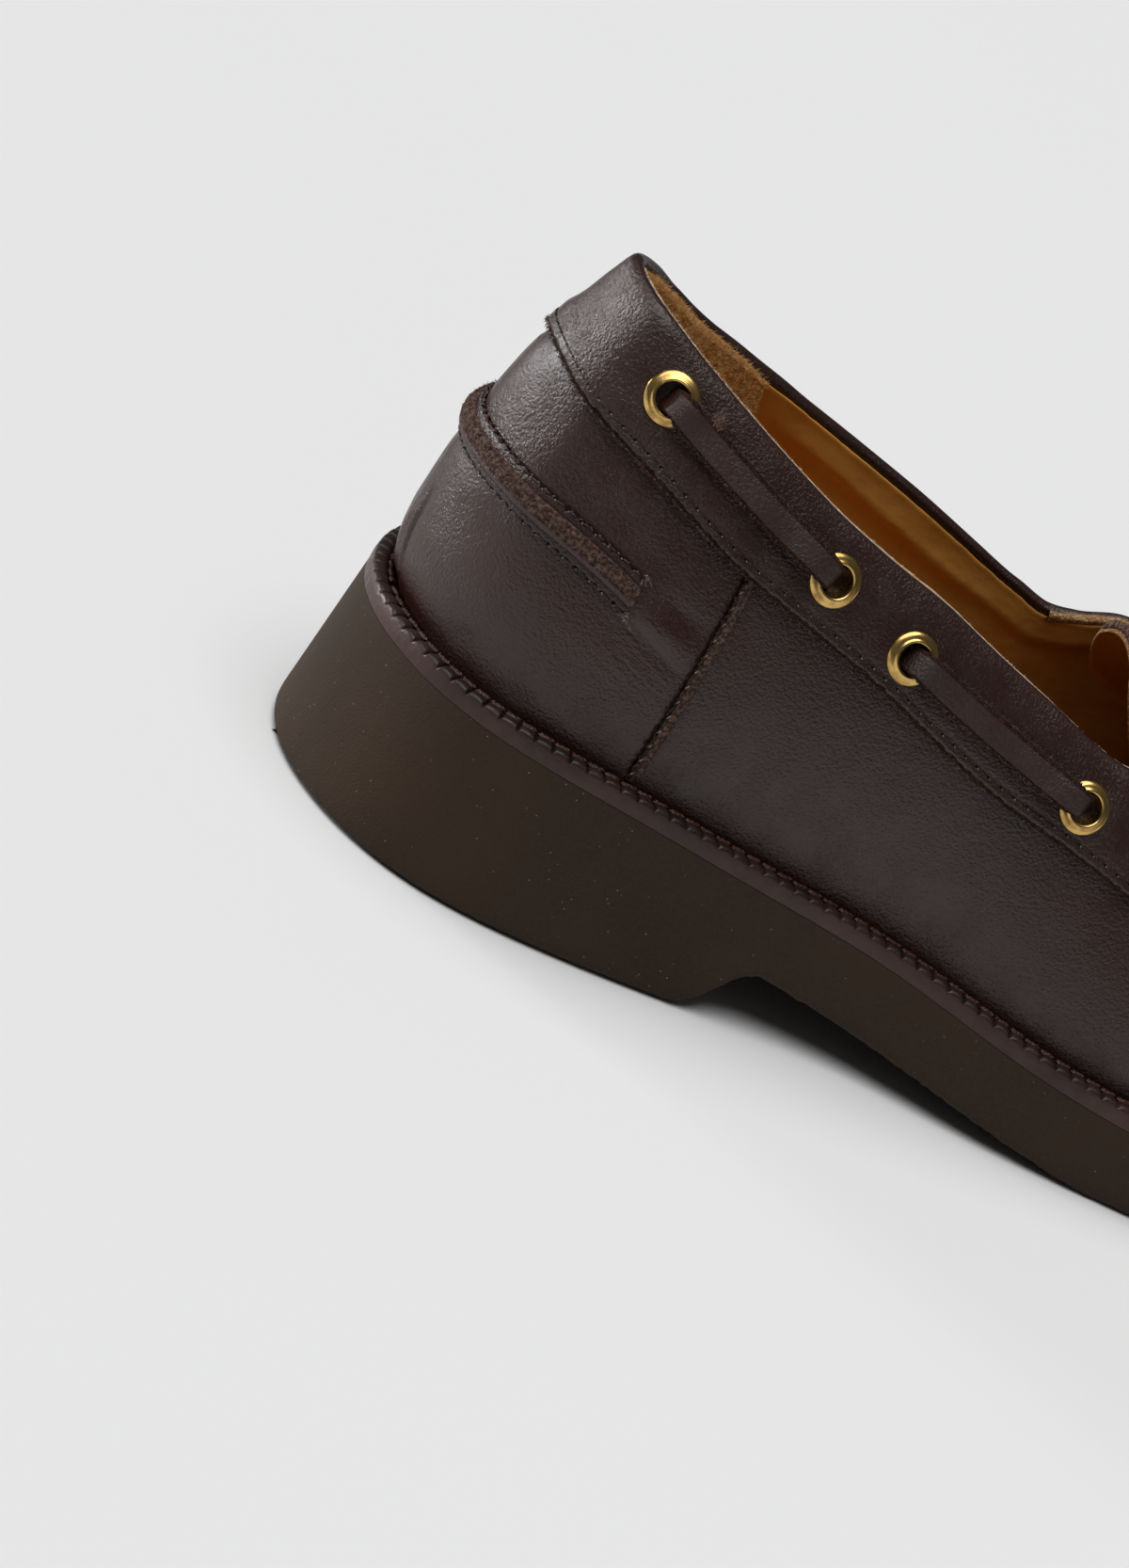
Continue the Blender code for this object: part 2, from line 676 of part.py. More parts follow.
def make_punch(origin):
    """The cutter for all the eyelet holes."""
    build = bmesh.new()
    for name in EYELETS:
        _, _, point, normal = eyelet_place(name)
        place = Matrix.Translation(Vector(point - origin)) @ facing(normal)
        bmesh.ops.create_cone(
            build, cap_ends=True, segments=16, depth=12,
            radius1=EYELET_SHANK / 2 + GAP, radius2=EYELET_SHANK / 2 + GAP, matrix=place,
        )
    punch = add_object("eyelet_punch", build)
    punch.hide_render = True
    punch.display_type = "WIRE"
    return punch


def make_lace_bar(name, one, two, base_line):
    """A flat lace from one eyelet to the other, lying just over the line between them."""
    start, end = eyelet_place(one)[2], eyelet_place(two)[2]
    span = np.linalg.norm(end - start)
    turn = np.array(LACE_TURN)
    middle = np.linspace(turn[-1, 0], span - turn[-1, 0], 8)[1:-1]
    along = np.concatenate([turn[:, 0], middle, span - turn[::-1, 0]])
    from_end = np.minimum(along, span - along)
    height = np.interp(from_end, turn[:, 0], turn[:, 1])
    width = np.interp(from_end, turn[:, 0], turn[:, 2])
    base, normal = base_line(along / span)
    path = base + height[:, None] * normal
    heading = unit(np.gradient(path, axis=0))
    side = unit(np.cross(normal, np.gradient(base, axis=0)))
    upright = unit(np.cross(heading, side))
    build = bmesh.new()
    rows = []
    for across, over in ((-1, -1), (1, -1), (1, 1), (-1, 1)):
        offset = across * width[:, None] / 2 * side + over * LACE_THICKNESS / 2 * upright
        rows.append(path + offset)
    verts = add_sheet(build, rows + [rows[0]])
    for k in (0, -1):
        build.faces.new([row[k] for row in verts[:4]])
    bmesh.ops.remove_doubles(build, verts=build.verts, dist=MERGE)
    bmesh.ops.recalc_face_normals(build, faces=build.faces)
    return add_object("lace_" + name, build)


def over_wall(one, two):
    """A base line for a lace that follows the band from one eyelet to another."""
    (station_a, part_a, _, _), (station_b, part_b, _, _) = eyelet_place(one), eyelet_place(two)
    if station_b - station_a > STATIONS / 2:
        station_a += STATIONS

    def line(u):
        station = station_a + (station_b - station_a) * u
        part = part_a + (part_b - part_a) * u
        return skin(station, part, BAND_LIFT + BAND_THICKNESS), wall_normal(station, part)

    return line


def over_throat(one, two):
    """A base line for the lace that crosses the tongue, leaving along both facings."""
    (_, _, start, up_a), (_, _, end, up_b) = eyelet_place(one), eyelet_place(two)

    def line(u):
        u = u[:, None]
        lift = THROAT_RISE * (1 - np.abs(2 * u - 1) ** 3)
        base = start * (1 - u) + end * u + np.array([0, 0, 1]) * lift
        return base, unit(up_a * (1 - u) + up_b * u)

    return line


def main():
    for old in list(bpy.data.objects):
        bpy.data.objects.remove(old, do_unlink=True)
    origin = box_origin()
    stations = wall_stations()
    punch = make_punch(np.zeros(3))
    pieces = [
        make_outsole(), make_welt(stations), make_insole(), make_upper(stations, punch),
        make_collar_band(stations, punch), make_heel_strip(), make_tongue(),
    ]
    for name, (one, two) in LACE_BARS.items():
        pieces.append(make_lace_bar(name, one, two, over_wall(one, two)))
    pieces.append(make_lace_bar("throat", *THROAT_BAR, over_throat(*THROAT_BAR)))
    for piece in pieces + [punch]:
        piece.location = Vector(-origin * MM)
    for name in EYELETS:
        make_eyelet(name, origin)


main()
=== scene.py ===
"""Looks of the lace-up loafer: a right shoe in dark brown waxed leather with a brass-eyed
collar lace, a golden tan lining and a matt rubber sole.

Lengths are millimetres in the pattern's own frame (x from the back of the heel, +y to the
inner side, z up from the floor) until a mesh is placed, and metres after that. Places
around the shoe are stations: 0 is the back of the heel, 12 the tip of the toe, 1 to 11
run along the outer side and 13 to 23 back along the inner side.
"""

import math
from functools import partial

import bmesh
import bpy
import numpy as np
from mathutils import Matrix, Vector, noise


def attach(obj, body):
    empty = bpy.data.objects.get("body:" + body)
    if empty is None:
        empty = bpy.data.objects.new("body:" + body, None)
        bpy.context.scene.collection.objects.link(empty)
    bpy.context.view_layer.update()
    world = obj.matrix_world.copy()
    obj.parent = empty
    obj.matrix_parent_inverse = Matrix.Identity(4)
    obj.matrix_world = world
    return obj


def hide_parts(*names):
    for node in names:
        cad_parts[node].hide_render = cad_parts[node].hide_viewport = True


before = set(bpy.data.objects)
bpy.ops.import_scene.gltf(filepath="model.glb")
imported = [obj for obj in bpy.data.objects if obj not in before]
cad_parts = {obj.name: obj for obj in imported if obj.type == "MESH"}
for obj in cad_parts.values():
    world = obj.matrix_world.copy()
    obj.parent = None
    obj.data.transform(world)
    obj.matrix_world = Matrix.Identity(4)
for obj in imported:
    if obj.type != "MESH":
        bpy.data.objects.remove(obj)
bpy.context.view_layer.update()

MM = 0.001
BODY = "root"

# The pattern's driving sizes
LENGTH = 285.0
BALL_WIDTH = 95.0
HEEL_WIDTH = 73.4
COLLAR_HEIGHT = 104.8
INSTEP_HEIGHT = 76.3
HEEL_FLARE = 1.1
WELT_WIDTH = 4.4
WELT_THICKNESS = 3.2
UPPER_WALL = 2.0
BAND_LIFT = 0.4
BAND_THICKNESS = 1.5
BAND_FACE = BAND_LIFT + BAND_THICKNESS
GAP = 0.3
EYELET_OUTER = 9.5
EYELET_HOLE = 5.4
STATIONS = 24
TOE = 12
NOTCH_PITCH = 3.42      # along the welt, from one notch to the next

# The outline of the rubber's top edge. x is a part of LENGTH. y is the sum of a part
# of HEEL_WIDTH and a part of BALL_WIDTH, negative on the outer side.
OUTLINE = [
    # x, of heel width, of ball width
    (0.000, 0.000, 0.000),
    (0.023, -0.287, 0.000),
    (0.070, -0.448, 0.000),
    (0.141, -0.512, 0.000),
    (0.250, -0.508, 0.000),
    (0.360, 0.000, -0.390),
    (0.467, 0.000, -0.454),
    (0.583, 0.000, -0.487),
    (0.700, 0.000, -0.508),
    (0.817, 0.000, -0.442),
    (0.917, 0.000, -0.318),
    (0.980, 0.000, -0.145),
    (1.000, 0.000, 0.058),
    (0.980, 0.000, 0.258),
    (0.917, 0.000, 0.408),
    (0.817, 0.000, 0.485),
    (0.700, 0.000, 0.492),
    (0.583, 0.000, 0.406),
    (0.467, 0.000, 0.300),
    (0.360, 0.000, 0.280),
    (0.250, 0.448, 0.000),
    (0.141, 0.488, 0.000),
    (0.070, 0.448, 0.000),
    (0.023, 0.287, 0.000),
]

# The height of the rubber's top edge over the floor, against its place along LENGTH.
RUBBER_TOP = [
    # x, height
    (0.000, 30.6),
    (0.083, 30.6),
    (0.167, 29.0),
    (0.267, 25.2),
    (0.367, 21.3),
    (0.467, 17.1),
    (0.583, 14.3),
    (0.717, 14.7),
    (0.867, 17.6),
    (1.000, 25.0),
]
BREAST_FOOT = 0.257     # where the heel's flat foot ends, as a part of LENGTH
BREAST_HEAD = 0.285     # where the front face of the heel meets the waist
WAIST_LIFT = 10.7       # underside of the waist over the floor, in front of the heel
BREAST_ROUND = 2.6      # rounding of the two corners of the heel's front face
TREAD_START = 0.535     # the forepart lies flat from here
TREAD_END = 0.715       # to here, and then springs up to the toe
TOE_SPRING = 9.0
EDGE_ROUND = 2.0        # rounding of the rubber's bottom edge
TORN_FROM = 0.27        # in front of the heel that edge is torn more

# The upper's top edge: the collar, the facings and, in front of the throat, the ridge
# line where both sides meet. x is a part of LENGTH and y of BALL_WIDTH. z and the
# seam's height are parts of COLLAR_HEIGHT behind and of INSTEP_HEIGHT in front. The
# seam is the lower edge of the collar band, and further forward the moccasin seam.
# The leans are in degrees: outward at the foot, inward at the top.
COLLAR_EDGE = [
    # station, x, y, z, seam, foot lean, top lean
    (18.6, 0.393, 0.243, 0.680, 0.540, 28, 22),
    (19.0, 0.360, 0.238, 0.705, 0.558, 28, 21),
    (20.0, 0.253, 0.218, 0.787, 0.636, 14, 27),
    (21.0, 0.147, 0.172, 0.858, 0.706, 7, 31),
    (22.0, 0.099, 0.140, 0.902, 0.761, 12, 30),
    (23.0, 0.058, 0.085, 0.962, 0.802, 20, 27),
    (24.0, 0.035, -0.010, 0.992, 0.825, 25, 24),
    (25.0, 0.047, -0.118, 0.988, 0.804, 20, 22),
    (26.0, 0.087, -0.175, 0.946, 0.765, 12, 26),
    (27.0, 0.147, -0.215, 0.883, 0.702, 5, 31),
    (28.0, 0.250, -0.250, 0.787, 0.629, 3, 32),
    (29.0, 0.358, -0.270, 0.694, 0.540, 3, 33),
    (29.7, 0.437, -0.285, 0.646, 0.502, 2, 36),
]
THROAT_EDGE = [
    # station, x, y, z, seam, foot lean, top lean
    (6.00, 0.465, -0.268, 0.887, 0.663, 2, 40),
    (6.28, 0.497, -0.208, 0.941, 0.641, 2, 50),
    (6.42, 0.513, -0.180, 0.954, 0.629, 3, 56),
    (7.00, 0.573, -0.160, 0.888, 0.598, 4, 62),
    (7.42, 0.623, -0.130, 0.829, 0.592, 6, 68),
    (7.58, 0.637, -0.075, 0.821, 0.592, 7, 76),
    (7.70, 0.643, 0.005, 0.818, 0.592, 7, 86),
    (8.00, 0.687, 0.008, 0.772, 0.592, 8, 88),
    (9.00, 0.790, 0.030, 0.684, 0.585, 12, 88),
    (10.0, 0.852, 0.046, 0.648, 0.573, 16, 88),
    (11.0, 0.882, 0.054, 0.632, 0.567, 18, 88),
    (12.0, 0.890, 0.057, 0.627, 0.567, 18, 88),
    (13.0, 0.882, 0.054, 0.632, 0.567, 18, 88),
    (14.0, 0.852, 0.046, 0.648, 0.573, 16, 88),
    (15.0, 0.790, 0.030, 0.684, 0.585, 12, 88),
    (16.0, 0.687, 0.008, 0.772, 0.592, 9, 88),
    (16.3, 0.643, 0.005, 0.818, 0.598, 10, 86),
    (16.42, 0.637, 0.085, 0.821, 0.601, 11, 76),
    (16.58, 0.623, 0.140, 0.829, 0.605, 12, 68),
    (17.0, 0.573, 0.170, 0.891, 0.620, 15, 60),
    (17.6, 0.513, 0.190, 0.961, 0.653, 20, 50),
    (17.8, 0.490, 0.205, 0.982, 0.671, 22, 42),
    (18.03, 0.463, 0.217, 0.970, 0.688, 24, 36),
    (18.28, 0.437, 0.233, 0.926, 0.711, 26, 28),
    (18.45, 0.417, 0.238, 0.912, 0.724, 27, 24),
]
EDGE_NAMES = ("x", "y", "z", "seam", "foot_lean", "top_lean")
THROAT_OUTER = 7.70     # between these two stations the two sides meet
THROAT_INNER = 16.30
BAND_SPAN = 7.42        # the collar band ends this far from the back, on both sides
QUARTER_SEAM = 3.14     # and the heel quarter meets the vamp here, on both sides
FOOT_PULL = (0.22, 0.40)  # how far the wall keeps its lean over the welt: heel, toe
PULL_SPAN = (0.45, 0.65)  # the parts of LENGTH between which the one becomes the other
TOP_PULL = 0.38
PANEL_THICKNESS = 1.25
STITCH_INSET = 2.1      # the band's row of stitches, above its lower edge
STITCH_PITCH = 3.0

# Eyelets of the collar band: station, and distance below the top edge.
EYELETS = {
    "lateral_1": (1.78, 9.4),
    "lateral_2": (3.57, 10.1),
    "lateral_3": (4.17, 10.1),
    "lateral_4": (5.51, 8.6),
    "lateral_5": (6.62, 6.5),
    "lateral_6": (7.16, 6.5),
    "medial_1": (22.22, 9.4),
    "medial_2": (20.43, 10.1),
    "medial_3": (19.83, 10.1),
    "medial_4": (18.78, 9.5),
    "medial_5": (17.40, 6.5),
    "medial_6": (16.86, 6.5),
}
LACE_BARS = {
    "lateral_rear": ("lateral_1", "lateral_2"),
    "lateral_front": ("lateral_3", "lateral_4"),
    "medial_rear": ("medial_1", "medial_2"),
    "medial_front": ("medial_3", "medial_4"),
}
THROAT_BAR = ("lateral_6", "medial_6")
THROAT_RISE = 4.2       # of its middle, over a straight line
LACE_HALF = 0.75        # half the lace's thickness

# The raw strip around the heel: its centre line drops towards both ends.
STRIP_HEIGHT = 65.8
STRIP_END = 2.43        # stations from the back to each end
STRIP_DROP = 3.8
STRIP_PITCH = 2.9       # between its stitches
STRIP_WAVES = math.tau / 0.112   # of its cut edge, in radians a station

# The tongue's sections, from its free end forward to the seam under the vamp.
TONGUE = [
    # x (part of LENGTH), crown height (part of INSTEP_HEIGHT), arch radius, half width
    (0.436, 1.060, 17.0, 16.5),
    (0.500, 0.980, 21.0, 19.0),
    (0.573, 0.893, 26.0, 21.5),
    (0.640, 0.774, 32.5, 22.0),
    (0.680, 0.738, 36.0, 22.0),
]
TONGUE_CORNER = 7.0


# Curves

def cubic(knots, values, at, closed=False):
    """A smooth cubic spline through the values, natural or closed on itself."""
    knots, values = np.asarray(knots, float), np.asarray(values, float)
    step = np.diff(knots)
    slope = np.diff(values) / step
    count = len(knots)
    system, right = np.zeros((count, count)), np.zeros(count)
    for i in range(1, count - 1):
        system[i, i - 1:i + 2] = step[i - 1], 2 * (step[i - 1] + step[i]), step[i]
        right[i] = 6 * (slope[i] - slope[i - 1])
    if closed:
        system[0, [0, 1, -2]] = 2 * (step[0] + step[-1]), step[0], step[-1]
        right[0] = 6 * (slope[0] - slope[-1])
        system[-1, [0, -1]] = 1, -1
    else:
        system[0, 0] = system[-1, -1] = 1
    bend = np.linalg.solve(system, right)
    i = np.clip(np.searchsorted(knots, at, side="right") - 1, 0, count - 2)
    h = step[i]
    a, b = (knots[i + 1] - at) / h, (at - knots[i]) / h
    curve = ((a ** 3 - a) * bend[i] + (b ** 3 - b) * bend[i + 1]) * h * h / 6
    return a * values[i] + b * values[i + 1] + curve


def steady(knots, values, at):
    """A curve through the values that never overshoots them."""
    knots, values = np.asarray(knots, float), np.asarray(values, float)
    step = np.diff(knots)
    slope = np.diff(values) / step
    before, after = slope[:-1], slope[1:]
    level = before * after <= 0
    mean = 2 * before * after / np.where(level, 1, before + after)
    tangent = np.concatenate([slope[:1], np.where(level, 0, mean), slope[-1:]])
    i = np.clip(np.searchsorted(knots, at, side="right") - 1, 0, len(knots) - 2)
    h = step[i]
    u = (at - knots[i]) / h
    return (
        values[i] * (1 + 2 * u) * (1 - u) ** 2
        + values[i + 1] * u * u * (3 - 2 * u)
        + h * tangent[i] * u * (1 - u) ** 2
        + h * tangent[i + 1] * u * u * (u - 1)
    )


def unit(vectors):
    """The vectors at length 1."""
    return vectors / np.linalg.norm(vectors, axis=-1, keepdims=True)


def follow(table, at):
    """The other columns of a table at places in its first, on straight lines."""
    first, *others = np.array(table, float).T
    return [np.interp(at, first, other) for other in others]


def smooth(table, at):
    """The second column of a table at places in its first, on a steady curve."""
    knots, values = np.array(table, float).T
    return steady(knots, values, np.clip(at, knots[0], knots[-1]))


# The sole's outline and heights

OUTLINE_POINTS = np.array([
    (x * LENGTH, heel * HEEL_WIDTH + ball * BALL_WIDTH) for x, heel, ball in OUTLINE
])
OUTLINE_LOOP = np.vstack([OUTLINE_POINTS, OUTLINE_POINTS[:1]])
# Knots a square root of the distance apart give an even curve through uneven points.
OUTLINE_KNOTS = np.concatenate([
    [0], np.cumsum(np.sqrt(np.linalg.norm(np.diff(OUTLINE_LOOP, axis=0), axis=1)))
])


def outline(station):
    """(x, y) of the rubber's top edge."""
    station = np.asarray(station, float) % STATIONS
    knot = np.interp(station, np.arange(STATIONS + 1), OUTLINE_KNOTS)
    return np.stack(
        [cubic(OUTLINE_KNOTS, OUTLINE_LOOP[:, k], knot, closed=True) for k in (0, 1)], -1
    )


def outward(station):
    """The level direction pointing out of the outline."""
    along = outline(np.asarray(station) + 0.02) - outline(np.asarray(station) - 0.02)
    return unit(np.stack([along[..., 1], -along[..., 0]], -1))


def rubber_top(x):
    """The height of the rubber's top edge."""
    parts, heights = np.array(RUBBER_TOP).T
    return cubic(parts * LENGTH, heights, np.clip(x, 0, LENGTH))


def rubber_bottom(x):
    """The underside: the heel, its front face, the waist, the tread and the toe spring."""
    places = np.array([0, BREAST_FOOT, BREAST_HEAD, TREAD_START, TREAD_END]) * LENGTH
    around_x = np.asarray(x, float)[..., None] + BREAST_ROUND * np.linspace(-1, 1, 13)
    low = np.interp(around_x, places, [0, 0, WAIST_LIFT, 0, 0]).mean(-1)
    spring = np.clip((x / LENGTH - TREAD_END) / (1 - TREAD_END), 0, 1.02)
    return low + TOE_SPRING * spring ** 1.8


def around(station, inset, height):
    """Points on a ring around the shoe, at a height over the rubber's top edge."""
    station = np.atleast_1d(station)
    level = outline(station) - np.asarray(inset)[..., None] * outward(station)
    return np.column_stack([level, rubber_top(level[:, 0]) + height])


# The upper's outside

def edge_table():
    """The rows of both tables in millimetres, going once around and a little further."""
    rows = []
    for table, height in ((COLLAR_EDGE, COLLAR_HEIGHT), (THROAT_EDGE, INSTEP_HEIGHT)):
        scale = (1, LENGTH, BALL_WIDTH, height, height, 1, 1)
        rows += [[value * size for value, size in zip(row, scale)] for row in table]
    rows = sorted([row[0] % STATIONS] + row[1:] for row in rows)
    before = [[row[0] - STATIONS] + row[1:] for row in rows[-3:]]
    after = [[row[0] + STATIONS] + row[1:] for row in rows[:3]]
    return np.array(before + rows + after)


EDGE = edge_table()


def signed(station):
    """The station from -12 to 12: the inner side is negative."""
    return (np.asarray(station, float) + STATIONS / 2) % STATIONS - STATIONS / 2


def edge_column(name, station):
    """One column of the table of edges, at any station."""
    station = np.asarray(station, float) % STATIONS
    return steady(EDGE[:, 0], EDGE[:, 1 + EDGE_NAMES.index(name)], station)


def top_edge(station):
    """The upper's top edge. In front of the throat both sides share their points."""
    station = np.asarray(station, float) % STATIONS
    joined = (station > THROAT_OUTER - 1e-6) & (station < THROAT_INNER + 1e-6)
    station = np.where(joined, np.minimum(station, STATIONS - station), station)
    return np.stack([edge_column(name, station) for name in ("x", "y", "z")], -1)


def wall(station, part):
    """A point on the upper's outside, from the welt (part 0) to its top edge (part 1)."""
    station, part = np.broadcast_arrays(np.asarray(station, float), np.asarray(part, float))
    level, out = outline(station), outward(station)
    level = level - WELT_WIDTH * out
    foot = np.dstack([level[..., 0], level[..., 1], rubber_top(level[..., 0])])
    foot = foot.reshape(station.shape + (3,)) + [0, 0, GAP + WELT_THICKNESS]
    top = top_edge(station)
    out = np.concatenate([out, np.zeros(station.shape + (1,))], -1)
    up = np.array([0, 0, 1.0])
    reach = np.linalg.norm(top - foot, axis=-1)[..., None]
    foot_lean = np.radians(edge_column("foot_lean", station))[..., None]
    top_lean = np.radians(edge_column("top_lean", station))[..., None]
    pull = np.interp(foot[..., 0] / LENGTH, PULL_SPAN, FOOT_PULL)[..., None]
    low = foot + pull * reach * (np.cos(foot_lean) * up + np.sin(foot_lean) * out)
    high = top - TOP_PULL * reach * (np.cos(top_lean) * up - np.sin(top_lean) * out)
    t = part[..., None]
    return (
        (1 - t) ** 3 * foot
        + 3 * t * (1 - t) ** 2 * low
        + 3 * t * t * (1 - t) * high
        + t ** 3 * top
    )


def wall_normal(station, part):
    """The outward direction of the upper's outside."""
    station, part = np.asarray(station, float), np.asarray(part, float)
    low, high = np.clip(part - 0.01, 0, 1), np.clip(part + 0.01, 0, 1)
    along = wall(station + 0.02, part) - wall(station - 0.02, part)
    up = wall(station, high) - wall(station, low)
    return unit(np.cross(along, up))


def rise_of(station):
    """The way the wall would go on up over its top edge."""
    return unit(wall(station, 1.0) - wall(station, 0.97))


def skin(station, part, lift):
    """A point lifted off the upper's outside."""
    return wall(station, part) + lift * wall_normal(station, part)


WALL_PARTS = np.linspace(0, 1, 121)     # where a column of the wall is measured


def chart(station, wanted, measure):
    """For each point, the part of the wall at which a measure of its column is wanted."""
    station, wanted = np.broadcast_arrays(np.asarray(station, float), wanted)
    columns, column = np.unique(station, return_inverse=True)
    values = measure(wall(*np.meshgrid(columns, WALL_PARTS, indexing="ij")))
    found = np.empty(station.size)
    order = np.argsort(column.reshape(-1), kind="stable")
    ends = np.searchsorted(column.reshape(-1)[order], np.arange(len(columns) + 1))
    for k, row in enumerate(values):
        points = order[ends[k]:ends[k + 1]]
        found[points] = np.interp(wanted.reshape(-1)[points], row, WALL_PARTS)
    return found.reshape(station.shape)


def part_at_height(station, height):
    """How far up the wall it reaches a height over the floor."""
    rise = 1e-3 * WALL_PARTS    # so that a level stretch still climbs
    return chart(station, height, lambda p: np.maximum.accumulate(p[..., 2], 1) + rise)


def below_edge(points):
    """Minus each point's distance below the top edge, measured up its column."""
    steps = np.linalg.norm(np.diff(points, axis=1), axis=-1)
    length = np.concatenate([np.zeros((len(steps), 1)), np.cumsum(steps, 1)], 1)
    return length - length[:, -1:]


def part_below_edge(station, distance):
    """How far up the wall it is at a distance from the top edge."""
    return chart(station, -np.asarray(distance, float), below_edge)


def normal_below(station, distance):
    """The outward direction of the wall at a distance from its top edge."""
    return wall_normal(station, part_below_edge(station, np.maximum(distance, 0)))


def seam_part(station):
    """Where the band's lower edge, and in front the moccasin seam, crosses the wall."""
    return part_at_height(station, edge_column("seam", station))


def seam_depth():
    """How far below the top edge the band's lower edge lies, at each station."""
    stations = np.linspace(-BAND_SPAN, BAND_SPAN, 601)
    length = below_edge(wall(*np.meshgrid(stations, WALL_PARTS, indexing="ij")))
    depth = [-np.interp(part, WALL_PARTS, row) for part, row in zip(seam_part(stations), length)]
    return lambda station: np.interp(station, stations, depth)


SEAM_DEPTH = seam_depth()

# How far the soft rim stands over the plain top edge, or has sagged under it.
RIM_RISE = [
    # signed station, millimetres
    (-7.5, 0.3), (-6.2, 0.7), (-5.56, 0.8), (-5.3, 0.35), (-4.9, 0.65), (-4.5, 0.85),
    (-4.0, 0.6), (-3.6, 0.9), (-3.3, 1.6), (-3.0, 1.75), (-2.4, 1.25), (-1.8, 0.95),
    (-1.4, 0.5), (-0.9, 0.45), (-0.2, 0.3), (0.0, 0.05), (0.5, -0.55), (1.3, -1.1), (2.0, -1.25),
    (3.4, -1.25), (3.8, -0.5), (4.4, 1.25), (5.1, 1.3), (5.6, 0.9), (6.2, 0.6), (7.5, 0.1),
]


def rim_rise(station):
    """How far the rim stands over the plain top edge."""
    return smooth(RIM_RISE, signed(station))


def joined_share(station):
    """0 along the collar and the facings, 1 in front of the throat."""
    inside = np.minimum(station - BAND_SPAN, STATIONS - BAND_SPAN - station)
    return np.clip(inside / 0.28, 0, 1)


def heel_share(x):
    """1 over the heel, fading to 0 in front of its breast."""
    return np.interp(x, np.array([BREAST_FOOT, TREAD_START]) * LENGTH, [1, 0])


def box_origin():
    """The bottom centre of the whole shoe's box: the origin of the frame."""
    stations = np.linspace(0, STATIONS, 40 * STATIONS + 1)
    dense = outline(stations)
    flared = dense + HEEL_FLARE * heel_share(dense[:, 0])[:, None] * outward(stations)
    both = np.vstack([dense, flared])
    middle = (both.min(0) + both.max(0)) / 2
    return np.array([middle[0], middle[1], 0.0])


ORIGIN = box_origin()


# Mesh tools

MERGE = 2e-6            # metres: points nearer than this are one


def to_frame(points):
    """From the pattern's millimetres to the frame's metres."""
    return (np.asarray(points, float) - ORIGIN) * MM


def surface(across, along, place, into=None, paint=None):
    """A sheet of across by along faces with each corner at place(u, v), u and v 0 to 1.
    paint(u, v) picks the material of a face."""
    build = into or bmesh.new()
    build.loops.layers.uv.verify()
    grid = bmesh.ops.create_grid(
        build, x_segments=across, y_segments=along, size=0.5, calc_uvs=True
    )
    made = grid["verts"]
    if paint:
        for face in {face for vert in made for face in vert.link_faces}:
            middle = face.calc_center_median()
            face.material_index = paint(middle.x + 0.5, middle.y + 0.5)
    flat = np.array([vert.co[:2] for vert in made]) + 0.5
    for vert, point in zip(made, to_frame(place(flat[:, 0], flat[:, 1]))):
        vert.co = point
    bmesh.ops.remove_doubles(build, verts=made, dist=MERGE)
    return build


def solid(build):
    """Closes what is open at the ends and turns every face outward."""
    rim = [edge for edge in build.edges if edge.is_boundary]
    if rim:
        bmesh.ops.holes_fill(build, edges=rim, sides=0)
    bmesh.ops.recalc_face_normals(build, faces=build.faces)
    return build


def mesh_of(name, build):
    """The mesh of a bmesh, which is used up."""
    mesh = bpy.data.meshes.new(name)
    build.to_mesh(mesh)
    build.free()
    return mesh


def smoothed(mesh, sharp=50):
    """Shades a mesh smooth but for the edges sharper than this many degrees."""
    mesh.shade_smooth()
    mesh.set_sharp_from_angle(angle=math.radians(sharp))
    return mesh


def show(name, data):
    """A new object of the scene."""
    made = bpy.data.objects.new(name, data)
    bpy.context.scene.collection.objects.link(made)
    return made


def facing(direction, over="X"):
    """The turn that points z in a direction, with the axis over as far up as it goes."""
    return Vector(direction).to_track_quat("Z", over).to_matrix().to_4x4()


def piece(name, build, *materials, stands_for=(), slot=None, sharp=50):
    """An object of the shoe from a bmesh whose points are in place."""
    # a corner on only two edges would let the two faces on it be split into a flap
    corners = [vert for vert in build.verts if len(vert.link_edges) == 2]
    bmesh.ops.dissolve_verts(build, verts=corners)
    made = show(name, smoothed(mesh_of(name, build), sharp))
    for material in materials:
        made.data.materials.append(material)
    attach(made, BODY)
    if stands_for:
        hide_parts(*stands_for)
    return made


def thicken(made, thickness):
    """A wall inward from the sheet. Its second material is inside, its third on the rim."""
    wall_of = made.modifiers.new("Thickness", "SOLIDIFY")
    wall_of.thickness = thickness * MM
    wall_of.offset = -1
    wall_of.material_offset = 1
    wall_of.material_offset_rim = 2


def on_wall(station, distance, lift):
    """A point off the upper's outside, at a distance below its top edge or over it."""
    part = part_below_edge(station, np.maximum(distance, 0))
    over = np.maximum(-np.asarray(distance), 0)[..., None]
    return skin(station, part, np.asarray(lift)[..., None]) + over * rise_of(station)


def ripple(points, size, seed=0.0):
    """Smooth noise from -1 to 1 at points in millimetres, about size across."""
    shift = Vector((seed, 1.7 * seed, -seed))
    return np.array([noise.noise(Vector(p) / size + shift) for p in np.asarray(points)])


def walk(points, pitch):
    """Even steps along a line of points: the places and the directions."""
    points = np.asarray(points, float)
    gone = np.concatenate([[0], np.cumsum(np.linalg.norm(np.diff(points, axis=0), axis=1))])
    at = np.linspace(0, gone[-1], max(2, round(gone[-1] / pitch) + 1))
    places = np.stack([np.interp(at, gone, points[:, k]) for k in range(3)], -1)
    return places, unit(np.gradient(places, axis=0)), at / gone[-1]


